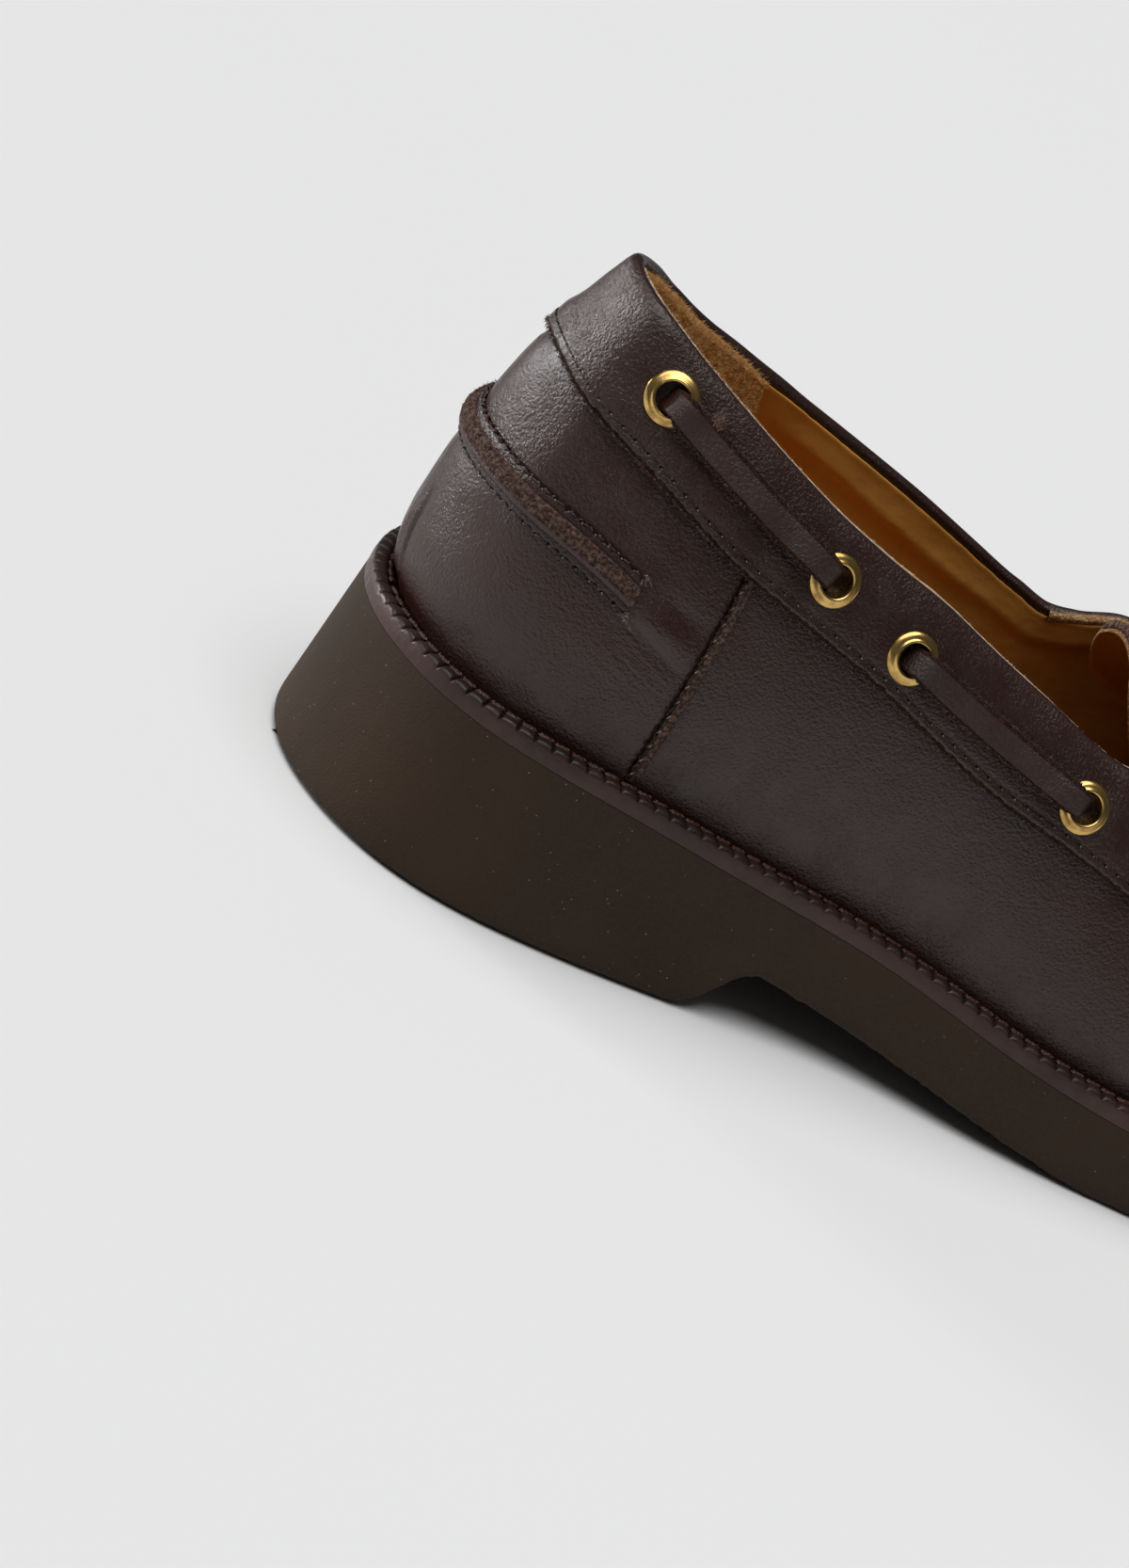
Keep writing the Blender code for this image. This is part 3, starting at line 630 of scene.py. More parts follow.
def put(build, points, faces):
    """Adds ready faces, given by the places of their corners in points (metres)."""
    verts = [build.verts.new(point) for point in points]
    for face in faces:
        build.faces.new([verts[corner] for corner in face])


def ball(sides, rings=4):
    """The corners and faces of a ball of radius 1."""
    turns = np.arange(sides) * math.tau / sides
    corners = [(0.0, 0.0, 1.0)]
    for fall in np.arange(1, rings) * math.pi / rings:
        corners += [
            (math.sin(fall) * math.cos(a), math.sin(fall) * math.sin(a), math.cos(fall))
            for a in turns
        ]
    corners.append((0.0, 0.0, -1.0))
    faces, last = [], len(corners) - 1
    for k in range(sides):
        after = (k + 1) % sides
        faces.append((0, 1 + k, 1 + after))
        for ring in range(rings - 2):
            low = 1 + ring * sides
            faces.append((low + k, low + sides + k, low + sides + after, low + after))
        low = 1 + (rings - 2) * sides
        faces.append((low + k, last, low + after))
    return np.array(corners), faces


BALLS = {sides: ball(sides) for sides in (6, 8, 10)}


def bead(build, point, along, up, size, sides=6):
    """A small rounded grain: a stitch, a knot or a crumb, of the size (x, y, z)."""
    corners, faces = BALLS[sides]
    x = along / np.linalg.norm(along)
    y = np.cross(up, x)
    y = y / np.linalg.norm(y)
    turn = np.array([x, y, np.cross(x, y)])
    put(build, to_frame(point + (corners * np.array(size) / 2) @ turn), faces)


SPIKE = ((0, 1, 3), (1, 2, 3), (2, 0, 3), (0, 2, 1))


def fibre(build, point, along, length, width=0.2):
    """A single fibre standing from a raw edge, a spike of three sides."""
    one = np.cross(along, (0.31, 0.52, 0.79))
    one = one / np.linalg.norm(one)
    two = np.cross(along, one)
    feet = [math.cos(a) * one + math.sin(a) * two for a in (0.0, 2.1, 4.2)]
    corners = [point + width / 2 * foot for foot in feet] + [point + length * along]
    put(build, to_frame(np.array(corners)), SPIKE)


def stitch_row(build, holes, ends, points, normals, pitch, size):
    """Stitches end to end along a line. At each hole a near-black bead is painted shade, and
    a pale bead beside it is a painted glint on the thread end."""
    places, along, share = walk(points, pitch)
    turn = np.linspace(0, 1, len(normals))
    up = np.stack([np.interp(share, turn, normals[:, k]) for k in range(3)], -1)
    for k in range(len(places) - 1):
        middle = (places[k] + places[k + 1]) / 2 + 0.1 * up[k]
        side = np.cross(up[k], along[k])
        bead(build, middle, places[k + 1] - places[k], up[k], size)
        # painted shade: a near-black bead in the hole; painted glint: a pale bead at the thread end
        bead(holes, places[k], along[k] + 0.5 * side, up[k], (0.85, 0.6, 0.5))
        tip = places[k] + 0.42 * along[k] + 0.18 * up[k] - 0.12 * side
        bead(ends, tip, along[k] - 0.6 * side, up[k], (0.42, 0.26, 0.3))


def stitches(name, rows, pitch, size):
    """The thread of rows of stitches, with painted shade in the holes and painted glints on
    the thread ends, each row a line of points and their normals."""
    thread, holes, ends = bmesh.new(), bmesh.new(), bmesh.new()
    for points, normals in rows:
        stitch_row(thread, holes, ends, points, normals, pitch, size)
    piece(name + "_painted_hole_shades", holes, painted_hole_shade)
    piece(name + "_painted_thread_glints", ends, worn_thread_and_painted_glints)
    piece(name + "_stitches", thread, dark_thread)


def between(rows, u):
    """The values of each row at u, which goes from 0 at its start to 1 at its end."""
    at = u * (len(rows[0]) - 1)
    i = np.minimum(at.astype(int), len(rows[0]) - 2)
    t = (at - i)[:, None]
    return [row[i] * (1 - t) + row[i + 1] * t for row in rows]


def sweep(path, side, up, table, across=24, ends=True, into=None):
    """A solid drawn along a path: the table's columns are v, sideways and up."""
    def place(u, v):
        centre, across_to, up_to = between((path, side, up), u)
        sideways, lift = follow(table, v)
        return centre + sideways[:, None] * across_to + lift[:, None] * up_to

    build = surface(len(path) - 1, across, place, into)
    return solid(build) if ends else build


# Materials

def linear(code):
    """A hex sRGB colour as linear red, green, blue and alpha."""
    parts = [int(code[k:k + 2], 16) / 255 for k in (1, 3, 5)]
    return (*[p / 12.92 if p <= 0.04045 else ((p + 0.055) / 1.055) ** 2.4 for p in parts], 1)


def per(size):
    """The texture scale that gives a feature of this size in millimetres."""
    return 1 / (size * MM)


def ranged(value, low, high, start=0.0, end=1.0):
    """The inputs that carry a value between low and high over to start and end."""
    return {0: value, 1: low, 2: high, 3: start, 4: end}


def add(tree, kind, inputs=None, out=0, **settings):
    """Adds a node and returns its output out. inputs gives a socket a value, a hex colour
    or the output of another node."""
    made = tree.nodes.new("ShaderNode" + kind)
    for name, value in settings.items():
        setattr(made, name, value)
    for socket, value in (inputs or {}).items():
        if isinstance(value, bpy.types.NodeSocket):
            tree.links.new(value, made.inputs[socket])
        else:
            made.inputs[socket].default_value = linear(value) if isinstance(value, str) else value
    return made.outputs[out]


def dress(material, **sockets):
    """Gives the material's shader values, or outputs of nodes to follow."""
    tree = material.node_tree
    for name, value in sockets.items():
        socket = tree.nodes["Principled BSDF"].inputs[name.replace("_", " ")]
        if isinstance(value, bpy.types.NodeSocket):
            tree.links.new(value, socket)
        else:
            socket.default_value = value
    return material


def begin(name, **sockets):
    """A new material, the function that adds nodes to it, and its object coordinates."""
    material = bpy.data.materials.new(name)
    material.use_nodes = True
    node = partial(add, material.node_tree)
    return dress(material, **sockets), node, node("TexCoord", out="Object")


def patches(node, place, size, detail=2.0, span=(0.3, 0.7), to=(0.0, 1.0), distortion=0.0):
    """Patches of a size in millimetres, the middle span of a noise spread over a range."""
    clouds = node("TexNoise", {
        "Vector": place, "Scale": per(size), "Detail": detail, "Distortion": distortion,
    })
    return node("MapRange", ranged(clouds, *span, *to))


def grain_leather(name, dark, light, pebble, depth, roughness, folds=None):
    """Drum-dyed full-grain cowhide, waxed: small domed pebbles with soft furrows between
    them, a slow drift between two close browns and a satin gloss that the grain breaks.
    folds is a function that adds the piece's own fine wrinkles to the relief."""
    material, node, place = begin(name)
    drift = patches(node, place, 26, 3)
    fine = patches(node, place, 0.45 * pebble, 3)
    worn = patches(node, place, 7, to=(0.5, 1.0))
    bend = node("TexNoise", {"Vector": place, "Scale": per(2.2 * pebble)}, "Color")
    bent = node("MixRGB", {"Fac": 0.0002, "Color1": place, "Color2": bend})
    cells = node("TexVoronoi", {"Vector": bent, "Scale": per(pebble)}, feature="SMOOTH_F1")
    domes = node("MapRange", ranged(cells, 0, 0.75, 1, 0))
    height = node("Math", {0: fine, 1: 0.5, 2: domes}, operation="MULTIPLY_ADD")
    height = node("Math", {0: height, 1: worn}, operation="MULTIPLY")
    relief = node("Bump", {"Height": height, "Distance": depth * MM})
    soft = patches(node, place, 3, 1)
    relief = node("Bump", {"Height": soft, "Distance": 0.006 * MM, "Normal": relief})
    if folds:
        relief = folds(node, relief)
    colour = node("Mix", {0: drift, 6: dark, 7: light}, 2, data_type="RGBA")
    # The furrows between the pebbles are mixed towards the dark brown: painted shade.
    furrow = node("MapRange", ranged(domes, 0, 1, 0.35, 0))
    slant = node("LayerWeight", {"Blend": 0.5}, "Facing")
    return dress(
        material,
        Specular_IOR_Level=node("MapRange", ranged(slant, 0.42, 0.75, 0.5, 0.06)),
        Base_Color=node("Mix", {0: furrow, 6: colour, 7: dark}, 2, data_type="RGBA"),
        Roughness=patches(node, place, 4, 4, to=roughness),
        Normal=relief,
    )


def collar_folds(node, relief):
    """Fine wrinkles that cross the band at the back of the heel, where it flexes. The
    chart is laid out in metres, 0.48 along the band and 0.043 around its section."""
    chart_place = node("TexCoord", out="UV")
    flat = node("Mapping", {"Vector": chart_place, "Scale": (0.48, 0.043, 1)})
    along = node("SeparateXYZ", {"Vector": flat}, "X")
    from_back = node("Math", {0: along, 1: 0.24}, operation="SUBTRACT")
    from_back = node("Math", {0: from_back}, operation="ABSOLUTE")
    mask = node("MapRange", ranged(from_back, 0.012, 0.05, 1, 0.12))
    stretched = node("Mapping", {"Vector": flat, "Scale": (0.6, 0.45, 1)})
    lines = patches(node, stretched, 1.5, 3, (0.35, 0.65), distortion=0.5)
    height = node("Math", {0: lines, 1: mask}, operation="MULTIPLY")
    return node("Bump", {"Height": height, "Distance": 0.01 * MM, "Normal": relief})


def quarter_folds(node, relief):
    """Puckers that run on from the end of the heel strip, on both sides."""
    place = node("TexCoord", out="Object")
    x, y, z = node("SeparateXYZ", {"Vector": place}).node.outputs
    aside = node("Math", {0: y}, operation="ABSOLUTE")
    side = node("CombineXYZ", {"X": x, "Y": aside, "Z": z})
    turned = node("Mapping", {
        "Vector": side, "Location": (-0.106, 0.031, 0.056),
        "Rotation": (0, math.radians(18), 0), "Scale": (7, 1, 1),
    }, vector_type="TEXTURE")
    lines = patches(node, turned, 1.1, span=(0.35, 0.65))
    strip_end = (-0.1075, 0.031, 0.0535)
    away = node("VectorMath", {0: side, 1: strip_end}, "Value", operation="DISTANCE")
    mask = node("MapRange", ranged(away, 0.003, 0.0105, 1, 0))
    height = node("Math", {0: lines, 1: mask}, operation="MULTIPLY")
    return node("Bump", {"Height": height, "Distance": 0.07 * MM, "Normal": relief})


def raw_leather(name, dark, light, nap, depth):
    """The cut or flesh side of leather: a matt felt of fibre bundles in an uneven tone, with
    painted light on the raised bundles and painted shade between them."""
    material, node, place = begin(name, Roughness=0.95, Specular_IOR_Level=0.2)
    fleck = patches(node, place, nap, 6, (0.42, 0.7))
    clump = patches(node, place, 3.2 * nap, 3, to=(0.55, 1.0))
    shade = node("Math", {0: fleck, 1: clump}, operation="MULTIPLY")
    # The colour follows the relief: painted light and shade over the felt's own uneven tone.
    colour = node("Mix", {0: shade, 6: dark, 7: light}, 2, data_type="RGBA")
    relief = node("Bump", {"Height": shade, "Distance": depth * MM})
    return dress(material, Base_Color=colour, Normal=relief)


def lining_leather():
    """Glazed calf lining, vegetable tanned: a smooth golden tan, painted darker towards the toe
    as the shade deep inside the shoe, with hair pores just under a millimetre apart."""
    material, node, place = begin("golden calf lining", Specular_IOR_Level=0.16)
    drift = patches(node, place, 22, 4)
    golden = node("Mix", {0: drift, 6: "#cf8f3a", 7: "#e0a652"}, 2, data_type="RGBA")
    along = node("SeparateXYZ", {"Vector": place}, "X")
    # Painted shade: towards the toe, deep inside the shoe, the lining is mixed to a dark brown.
    deep = node("MapRange", ranged(along, -0.075, -0.005, 0, 0.75))
    pores = node("TexVoronoi", {"Vector": place, "Scale": per(0.9)})
    relief = node("Bump", {"Height": pores, "Distance": 0.03 * MM})
    waves = patches(node, place, 7)
    return dress(
        material,
        Base_Color=node("Mix", {0: deep, 6: golden, 7: "#663614"}, 2, data_type="RGBA"),
        Roughness=patches(node, place, 6, to=(0.55, 0.7)),
        Normal=node("Bump", {"Height": waves, "Distance": 0.25 * MM, "Normal": relief}),
    )


def suede(name, dark, light, glow):
    """Brushed pigskin suede: a deep nap of streaky fibres that lie different ways. The
    light that the pile passes on from hair to hair is given as a faint glow."""
    material, node, place = begin(
        name, Roughness=1.0, Specular_IOR_Level=0.2, Sheen_Weight=0.25, Sheen_Roughness=0.5,
        Emission_Strength=glow,
    )
    streaks = {"Rotation": (0.3, 0.5, 0.2), "Scale": (1.0, 1.0, 0.35)}
    stretched = node("Mapping", {"Vector": place, **streaks})
    nap = patches(node, stretched, 0.55, 5, (0.32, 0.68))
    brushed = patches(node, place, 5, 3, to=(0.6, 1.0))
    shade = node("Math", {0: nap, 1: brushed}, operation="MULTIPLY")
    colour = node("Mix", {0: shade, 6: dark, 7: light}, 2, data_type="RGBA")
    relief = node("Bump", {"Height": shade, "Distance": 0.3 * MM})
    return dress(material, Base_Color=colour, Emission_Color=colour, Normal=relief)


def moulded_rubber():
    """Moulded crepe-look rubber, matt from the mould, with dust and a few pale filler
    flecks a third of a millimetre wide."""
    material, node, place = begin("moulded rubber", Specular_IOR_Level=0.22)
    dust = patches(node, place, 0.5, 5)
    dusty = node("MapRange", ranged(dust, 0, 1, 0, 0.5))
    cells = node("TexVoronoi", {"Vector": place, "Scale": per(1.5)})
    fleck = node("MapRange", ranged(cells, 0.05, 0.11, 1, 0))
    rare = patches(node, place, 4, span=(0.5, 0.6))
    fleck = node("Math", {0: fleck, 1: rare}, operation="MULTIPLY")
    colour = "#2a2017"
    for share, other in ((patches(node, place, 30, 4), "#36291e"), (dusty, "#463628"),
                         (fleck, "#85786a")):
        colour = node("Mix", {0: share, 6: colour, 7: other}, 2, data_type="RGBA")
    grit, waves = patches(node, place, 0.45, 4), patches(node, place, 14)
    relief = node("Bump", {"Height": grit, "Distance": 0.06 * MM})
    return dress(
        material,
        Base_Color=colour,
        Roughness=node("MapRange", ranged(dust, 0, 1, 0.72, 0.9)),
        Normal=node("Bump", {"Height": waves, "Distance": 0.2 * MM, "Normal": relief}),
    )


def dressed_edge(name, dark, light):
    """Welt leather, burnished and stained: reddish brown, smooth and waxy, and a little
    uneven under the gloss."""
    material, node, place = begin(name, Specular_IOR_Level=0.4)
    drift, uneven = patches(node, place, 16, 4), patches(node, place, 1.2, 4)
    return dress(
        material,
        Base_Color=node("Mix", {0: drift, 6: dark, 7: light}, 2, data_type="RGBA"),
        Roughness=patches(node, place, 2.5, 4, to=(0.34, 0.58)),
        Normal=node("Bump", {"Height": uneven, "Distance": 0.05 * MM}),
    )


def waxed_thread(name, colour, lit):
    """Waxed twisted thread, whose strands show as small raised and lit flecks."""
    material, node, place = begin(name, Roughness=0.4, Specular_IOR_Level=0.4)
    strands = patches(node, place, 0.45)
    mix = node("Mix", {0: strands, 6: colour, 7: lit}, 2, data_type="RGBA")
    relief = node("Bump", {"Height": strands, "Distance": 0.12 * MM})
    return dress(material, Base_Color=mix, Normal=relief)


def aged_brass():
    """Rolled brass, lacquered and handled: a soft yellow shine with brown smudges and
    fine scratches from the setting tool."""
    material, node, place = begin("aged brass", Metallic=1.0)
    smudge = patches(node, place, 2.2, 5, (0.45, 0.75))
    dents, scratches = patches(node, place, 1.6), patches(node, place, 0.35, 4)
    relief = node("Bump", {"Height": dents, "Distance": 0.002 * MM})
    return dress(
        material,
        Base_Color=node("Mix", {0: smudge, 6: "#d6b26b", 7: "#9b7646"}, 2, data_type="RGBA"),
        Roughness=node("MapRange", ranged(smudge, 0, 1, 0.24, 0.42)),
        Normal=node("Bump", {"Height": scratches, "Distance": 0.001 * MM, "Normal": relief}),
    )


def plain(name, dark, light, roughness, size):
    """A matt finish that drifts a little between two near colours."""
    material, node, place = begin(name, Roughness=roughness, Specular_IOR_Level=0.2)
    drift = patches(node, place, size)
    mix = node("Mix", {0: drift, 6: dark, 7: light}, 2, data_type="RGBA")
    return dress(material, Base_Color=mix)


upper_leather = grain_leather(
    "waxed full-grain leather", "#2a1612", "#351e19", 0.55, 0.12, (0.22, 0.31), quarter_folds
)
band_leather = grain_leather(
    "waxed band leather", "#291611", "#341f19", 0.55, 0.14, (0.21, 0.3), collar_folds
)
lace_leather = grain_leather("oiled lace leather", "#2a1713", "#351f1a", 0.5, 0.14, (0.38, 0.5))
tongue_leather = grain_leather("tongue leather", "#2c1814", "#38231d", 0.8, 0.12, (0.42, 0.58))
raw_brown = raw_leather("raw brown leather", "#2e1e19", "#8a6c5e", 0.7, 0.25)
strip_raw = raw_leather("raw strip leather", "#33241d", "#775f55", 0.6, 0.14)
lace_edge = raw_leather("raw lace edge", "#170c09", "#553629", 0.4, 0.25)
torn_leather = raw_leather("torn leather fibres", "#5f463c", "#a58a7d", 0.5, 0.1)
raw_dark = raw_leather("raw dark leather edge", "#180e0b", "#543c32", 0.5, 0.25)
raw_tan = raw_leather("raw tan leather edge", "#7d5a36", "#d6ae80", 0.5, 0.3)
pale_edge = raw_leather("pale cut edge", "#b79c80", "#eadcc8", 0.6, 0.1)
golden_lining = lining_leather()
grip_suede = suede("brushed suede", "#a06c30", "#d8a660", 0.06)
nap_suede = suede("suede nap", "#b98646", "#f6d79c", 0.11)
rubber = moulded_rubber()
welt_leather = dressed_edge("burnished welt leather", "#2b1813", "#40251d")
welt_top = dressed_edge("pinched welt top", "#190e0b", "#311e18")
dark_thread = waxed_thread("waxed dark thread", "#0e0706", "#281a16")
# Pale thread for the frayed tufts at the strip's ends, and for beads painted as glints on stitch ends
worn_thread_and_painted_glints = waxed_thread("worn thread and painted glints", "#5d4a41", "#a8968a")
welt_cord = waxed_thread("waxed welt cord", "#22110b", "#4f2c20")
brass = aged_brass()
# Near-black beads in the stitch holes and the welt's notches: painted shade
painted_hole_shade = plain("painted hole shade", "#050302", "#0c0806", 0.95, 2.0)


# The sole

def sole_rows(x):
    """The two stations, outer and inner, at which the outline crosses each x."""
    lateral = np.linspace(0, TOE, 2401)
    medial = STATIONS - lateral
    x_of = [np.maximum.accumulate(outline(side)[:, 0]) for side in (lateral, medial)]
    return np.interp(x, x_of[0], lateral), np.interp(x, x_of[1], medial)


def make_outsole():
    """One rubber unit with a rounded foot edge, torn a little where it was trimmed."""
    count = 400
    turn = np.linspace(0, math.pi, count + 1)
    x_places = (1 - np.cos(turn)) / 2 * LENGTH
    outer, inner = sole_rows(x_places)
    outer[[0, -1]], inner[[0, -1]] = (0, TOE), (STATIONS, TOE)
    profile = [
        # v, share from the outer side to the inner, outward, up (of height), from below
        (0.00, 0.50, 0.0, 0, 0.0),
        (0.11, 0.00, -4.0, 0, 0.0),
        (0.14, 0.00, -EDGE_ROUND, 0, 0.0),
        (0.16, 0.00, -1.2, 0, 0.18),
        (0.18, 0.00, -0.35, 0, 0.75),
        (0.20, 0.00, -0.05, 0, 1.6),
        (0.22, 0.00, 0.0, 0, 2.6),
        (0.34, 0.00, 0.0, 1, -0.3),
        (0.36, 0.00, -0.02, 1, -0.06),
        (0.38, 0.00, -0.1, 1, 0.0),
        (0.50, 0.50, -3.0, 1, 0.0),
    ]
    profile += [(1 - v, 1 - s, o, h, e) for v, s, o, h, e in profile[-2::-1]]

    def place(u, v):
        row = np.rint(u * count).astype(int)
        share, push, high, extra = follow(profile, v)
        points = []
        for station in (outer[row], inner[row]):
            level, out = outline(station), outward(station)
            flare = HEEL_FLARE * heel_share(level[:, 0]) * (1 - high)
            points.append(level + (flare + push)[:, None] * out)
        mixed = points[0] * (1 - share)[:, None] + points[1] * share[:, None]
        low, top = rubber_bottom(x_places[row]), rubber_top(x_places[row])
        z = low + (top - low) * high + extra
        torn = (np.abs(push + 1.0) < 1.05) & (high < 0.01) & (extra < 1.9)
        points = np.column_stack([mixed, z])
        rough = ripple(points, 1.1) + 0.6 * ripple(points, 0.5, 3)
        tear = np.where(torn & (x_places[row] > TORN_FROM * LENGTH), 0.32, 0.1) * torn
        points[:, 2] += tear * rough
        return points

    build = solid(surface(count, 96, place))
    piece("rubber_sole", build, rubber, stands_for=["outsole"], slot="rubber_sole")


def measured_around():
    """How far around the welt each station lies, in millimetres, for a closed count."""
    stations = np.linspace(0, STATIONS, 4801)
    ring = around(stations, 0.4, 0)
    gone = np.concatenate([[0], np.cumsum(np.linalg.norm(np.diff(ring, axis=0), axis=1))])
    whole = round(gone[-1] / NOTCH_PITCH) * NOTCH_PITCH
    gone *= whole / gone[-1]
    return lambda station: np.interp(station, stations, gone)


WELT_GONE = measured_around()


def make_welt():
    """The welt: a burnished strip whose top is pinched into notches beside its cord."""
    inner, low, high = WELT_WIDTH - GAP, 0.02, GAP + WELT_THICKNESS
    profile = [
        # v, inset, height, notch
        (0.00, inner, low + 0.1, 0),
        (0.03, inner - 0.3, low, 0),
        (0.18, 0.4, low, 0),
        (0.24, 0.06, low, 0),
        (0.28, -0.02, low + 0.08, 0),
        (0.40, -0.1, (low + high) / 2, 0),
        (0.52, 0.0, high - 0.75, 0.1),
        (0.57, 0.1, high - 0.25, 0.5),
        (0.61, 0.36, high, 1),
        (0.66, 0.9, high + 0.08, 1),
        (0.72, 1.7, high + 0.06, 1),
        (0.77, 2.3, high - 0.04, 1),
        (0.81, 2.6, high - 0.4, 0.7),
        (0.85, 2.8, high - 0.9, 0.2),
        (0.91, inner - 0.3, high - 1.1, 0),
        (0.95, inner, high - 1.2, 0),
        (1.00, inner, low + 0.1, 0),
    ]

    def place(u, v):
        station = u * STATIONS
        inset, height, notch = follow(profile, v)
        phase = (WELT_GONE(station) / NOTCH_PITCH) % 1
        cut = 0.8 * np.exp(-((phase - 0.5) / 0.07) ** 2) - 0.09 * np.cos(2 * math.pi * phase)
        points = around(station, inset + 0.15 * cut * notch, height - cut * notch)
        points[:, 2] += 0.12 * ripple(points, 7) * (height > high - 1)
        return points

    build = surface(2700, 22, place, paint=lambda u, v: int(v > 0.55))
    bmesh.ops.recalc_face_normals(build, faces=build.faces)
    piece("welt_strip", build, welt_leather, welt_top, stands_for=["welt"], slot="welt_leather")


def make_welt_cord():
    """The thick waxed cord in the channel between the welt and the upper: long flat
    stitches that dip where they meet, over each notch."""
    build, slit_shade = bmesh.new(), bmesh.new()
    up, top = np.array([0, 0, 1.0]), GAP + WELT_THICKNESS
    stations = np.linspace(0, STATIONS, 4801)
    gone = WELT_GONE(stations)
    count = round(gone[-1] / NOTCH_PITCH)
    draw = np.random.default_rng(3)
    for k in range(count):
        ends = [np.interp((k + 0.5 + e) * NOTCH_PITCH, gone, stations) for e in (0.06, 0.94)]
        ends = [end % STATIONS for end in ends]
        one = around(ends[0], 3.05 + draw.uniform(-0.1, 0.1), top - 0.25)[0]
        two = around(ends[1], 3.35, top - 0.25)[0]
        along = two - one
        size = (np.linalg.norm(along) * 1.1, draw.uniform(0.95, 1.2), draw.uniform(0.65, 0.9))
        bead(build, (one + two) / 2, along, up, size, sides=10)
        for share in (0.15, 0.5, 0.85):
            twist = one + along * (share + draw.uniform(-0.08, 0.08)) + (0, 0, 0.2)
            lean = unit(along) + 0.9 * unit(np.cross(along, up))
            bead(build, twist, lean, up, (1.1, 0.36, draw.uniform(0.35, 0.55)))
        # A thin near-black bead in each notch: painted shade of its slit.
        notch = around(ends[0], 1.45, top - 0.62)[0]
        out = np.cross(along, up)
        bead(slit_shade, notch, unit(out) + 0.2 * unit(along), up, (2.3, 0.2, 0.3))
    piece("welt_slit_shade", slit_shade, painted_hole_shade)
    piece("welt_cord", build, welt_cord)


def make_insole():
    """The calf sock: a soft cushion over the insole board, rounded at its edge."""
    inset = WELT_WIDTH + UPPER_WALL + 2 * GAP

    def place(u, v):
        station = TOE * (1 - np.cos(u * math.pi)) / 2
        outer = around(station, inset, 0)[:, :2]
        inner = around(STATIONS - station, inset, 0)[:, :2]
        side = np.where(v < 0.5, v * 2, 2 - v * 2)
        mixed = outer * (1 - side)[:, None] + inner * side[:, None]
        round_edge = 0.6 * np.clip(np.minimum(side, 1 - side) / 0.03, 0, 1)
        z = rubber_top(mixed[:, 0]) + np.where(v < 0.5, GAP + 2.2 + round_edge, GAP)
        return np.column_stack([mixed, z])

    build = solid(surface(100, 50, place))
    piece("sock", build, golden_lining, stands_for=["insole"], slot="insole_leather")


# The upper

# Soft troughs and ridges worked in by wear and lasting: station and height at each end,
# width, and depth, which is negative for a ridge. All in stations and millimetres.
CREASES = [
    # station, height, station, height, width, depth
    (2.50, 65.0, 3.12, 61.2, 1.9, 0.4),
    (2.36, 61.6, 3.14, 56.8, 2.7, -0.58),
    (2.40, 58.7, 3.08, 53.3, 0.9, 0.45),
    (2.36, 57.4, 2.95, 52.0, 0.8, 0.16),
    (2.28, 56.6, 2.75, 51.0, 0.7, 0.12),
    (-2.50, 65.0, -3.12, 61.2, 1.9, 0.4),
    (-2.36, 61.6, -3.14, 56.8, 2.7, -0.75),
    (-2.40, 58.6, -3.10, 53.6, 1.1, 0.35),
    (0.06, 34.0, -0.01, 53.0, 0.65, 0.9),
    (-0.16, 34.5, -0.12, 52.0, 1.5, -0.4),
    (1.05, 36.5, 1.18, 42.0, 2.2, 0.3),
    (1.90, 34.5, 2.05, 40.0, 2.2, 0.25),
    (0.30, 80.0, 1.10, 76.0, 0.7, 0.22),
    (0.50, 76.5, 1.30, 72.5, 0.7, 0.2),
    (1.60, 74.0, 2.90, 66.0, 0.9, 0.2),
]


def crease_depth(points, station):
    """How far the creases push the points in."""
    at_station = signed(station)
    depth = np.zeros(len(points))
    steps = np.linspace(0, 1, 13)
    for one, low, two, high, width, deep in CREASES:
        near = (at_station > min(one, two) - 0.6) & (at_station < max(one, two) + 0.6)
        if not near.any():
            continue
        at = one + (two - one) * steps
        line = wall(at, part_at_height(at, low + (high - low) * steps))
        away, along = line_distance(points[near], line)
        fade = np.sin(np.pi * np.clip(along, 0.02, 0.98)) ** 0.8
        depth[near] += deep * fade * np.exp(-(away / width) ** 2)
    return depth


# How far the back of the heel is moulded out, against the height over the floor.
HEEL_BULGE = [
    # height, millimetres
    (34, 1.0), (38, 1.2), (42, 1.15), (46, 0.95), (50, 0.6), (55, 0.35), (59, 0.3), (61.5, 0.0),
    (69, 0.0), (71.5, 0.35), (75, 0.5), (80, 0.65), (83, 0.7), (85.5, 0.0), (100, 0.0),
]


def heel_bulge(points, station):
    """How far the points are moulded out from the plain wall, less away from the back."""
    moved = follow(HEEL_BULGE, points[:, 2])[0]
    return moved * np.exp(-((signed(station) + 0.42) / 0.75) ** 2)


def line_distance(points, line):
    """Each point's distance to a line of points, and how far along the line it is."""
    away, along = np.full(len(points), np.inf), np.zeros(len(points))
    for k, (one, two) in enumerate(zip(line, line[1:])):
        way = two - one
        share = np.clip((points - one) @ way / (way @ way), 0, 1)
        gap = np.linalg.norm(points - one - share[:, None] * way, axis=-1)
        closer = gap < away
        away[closer] = gap[closer]
        along[closer] = (k + share[closer]) / (len(line) - 1)
    return away, along


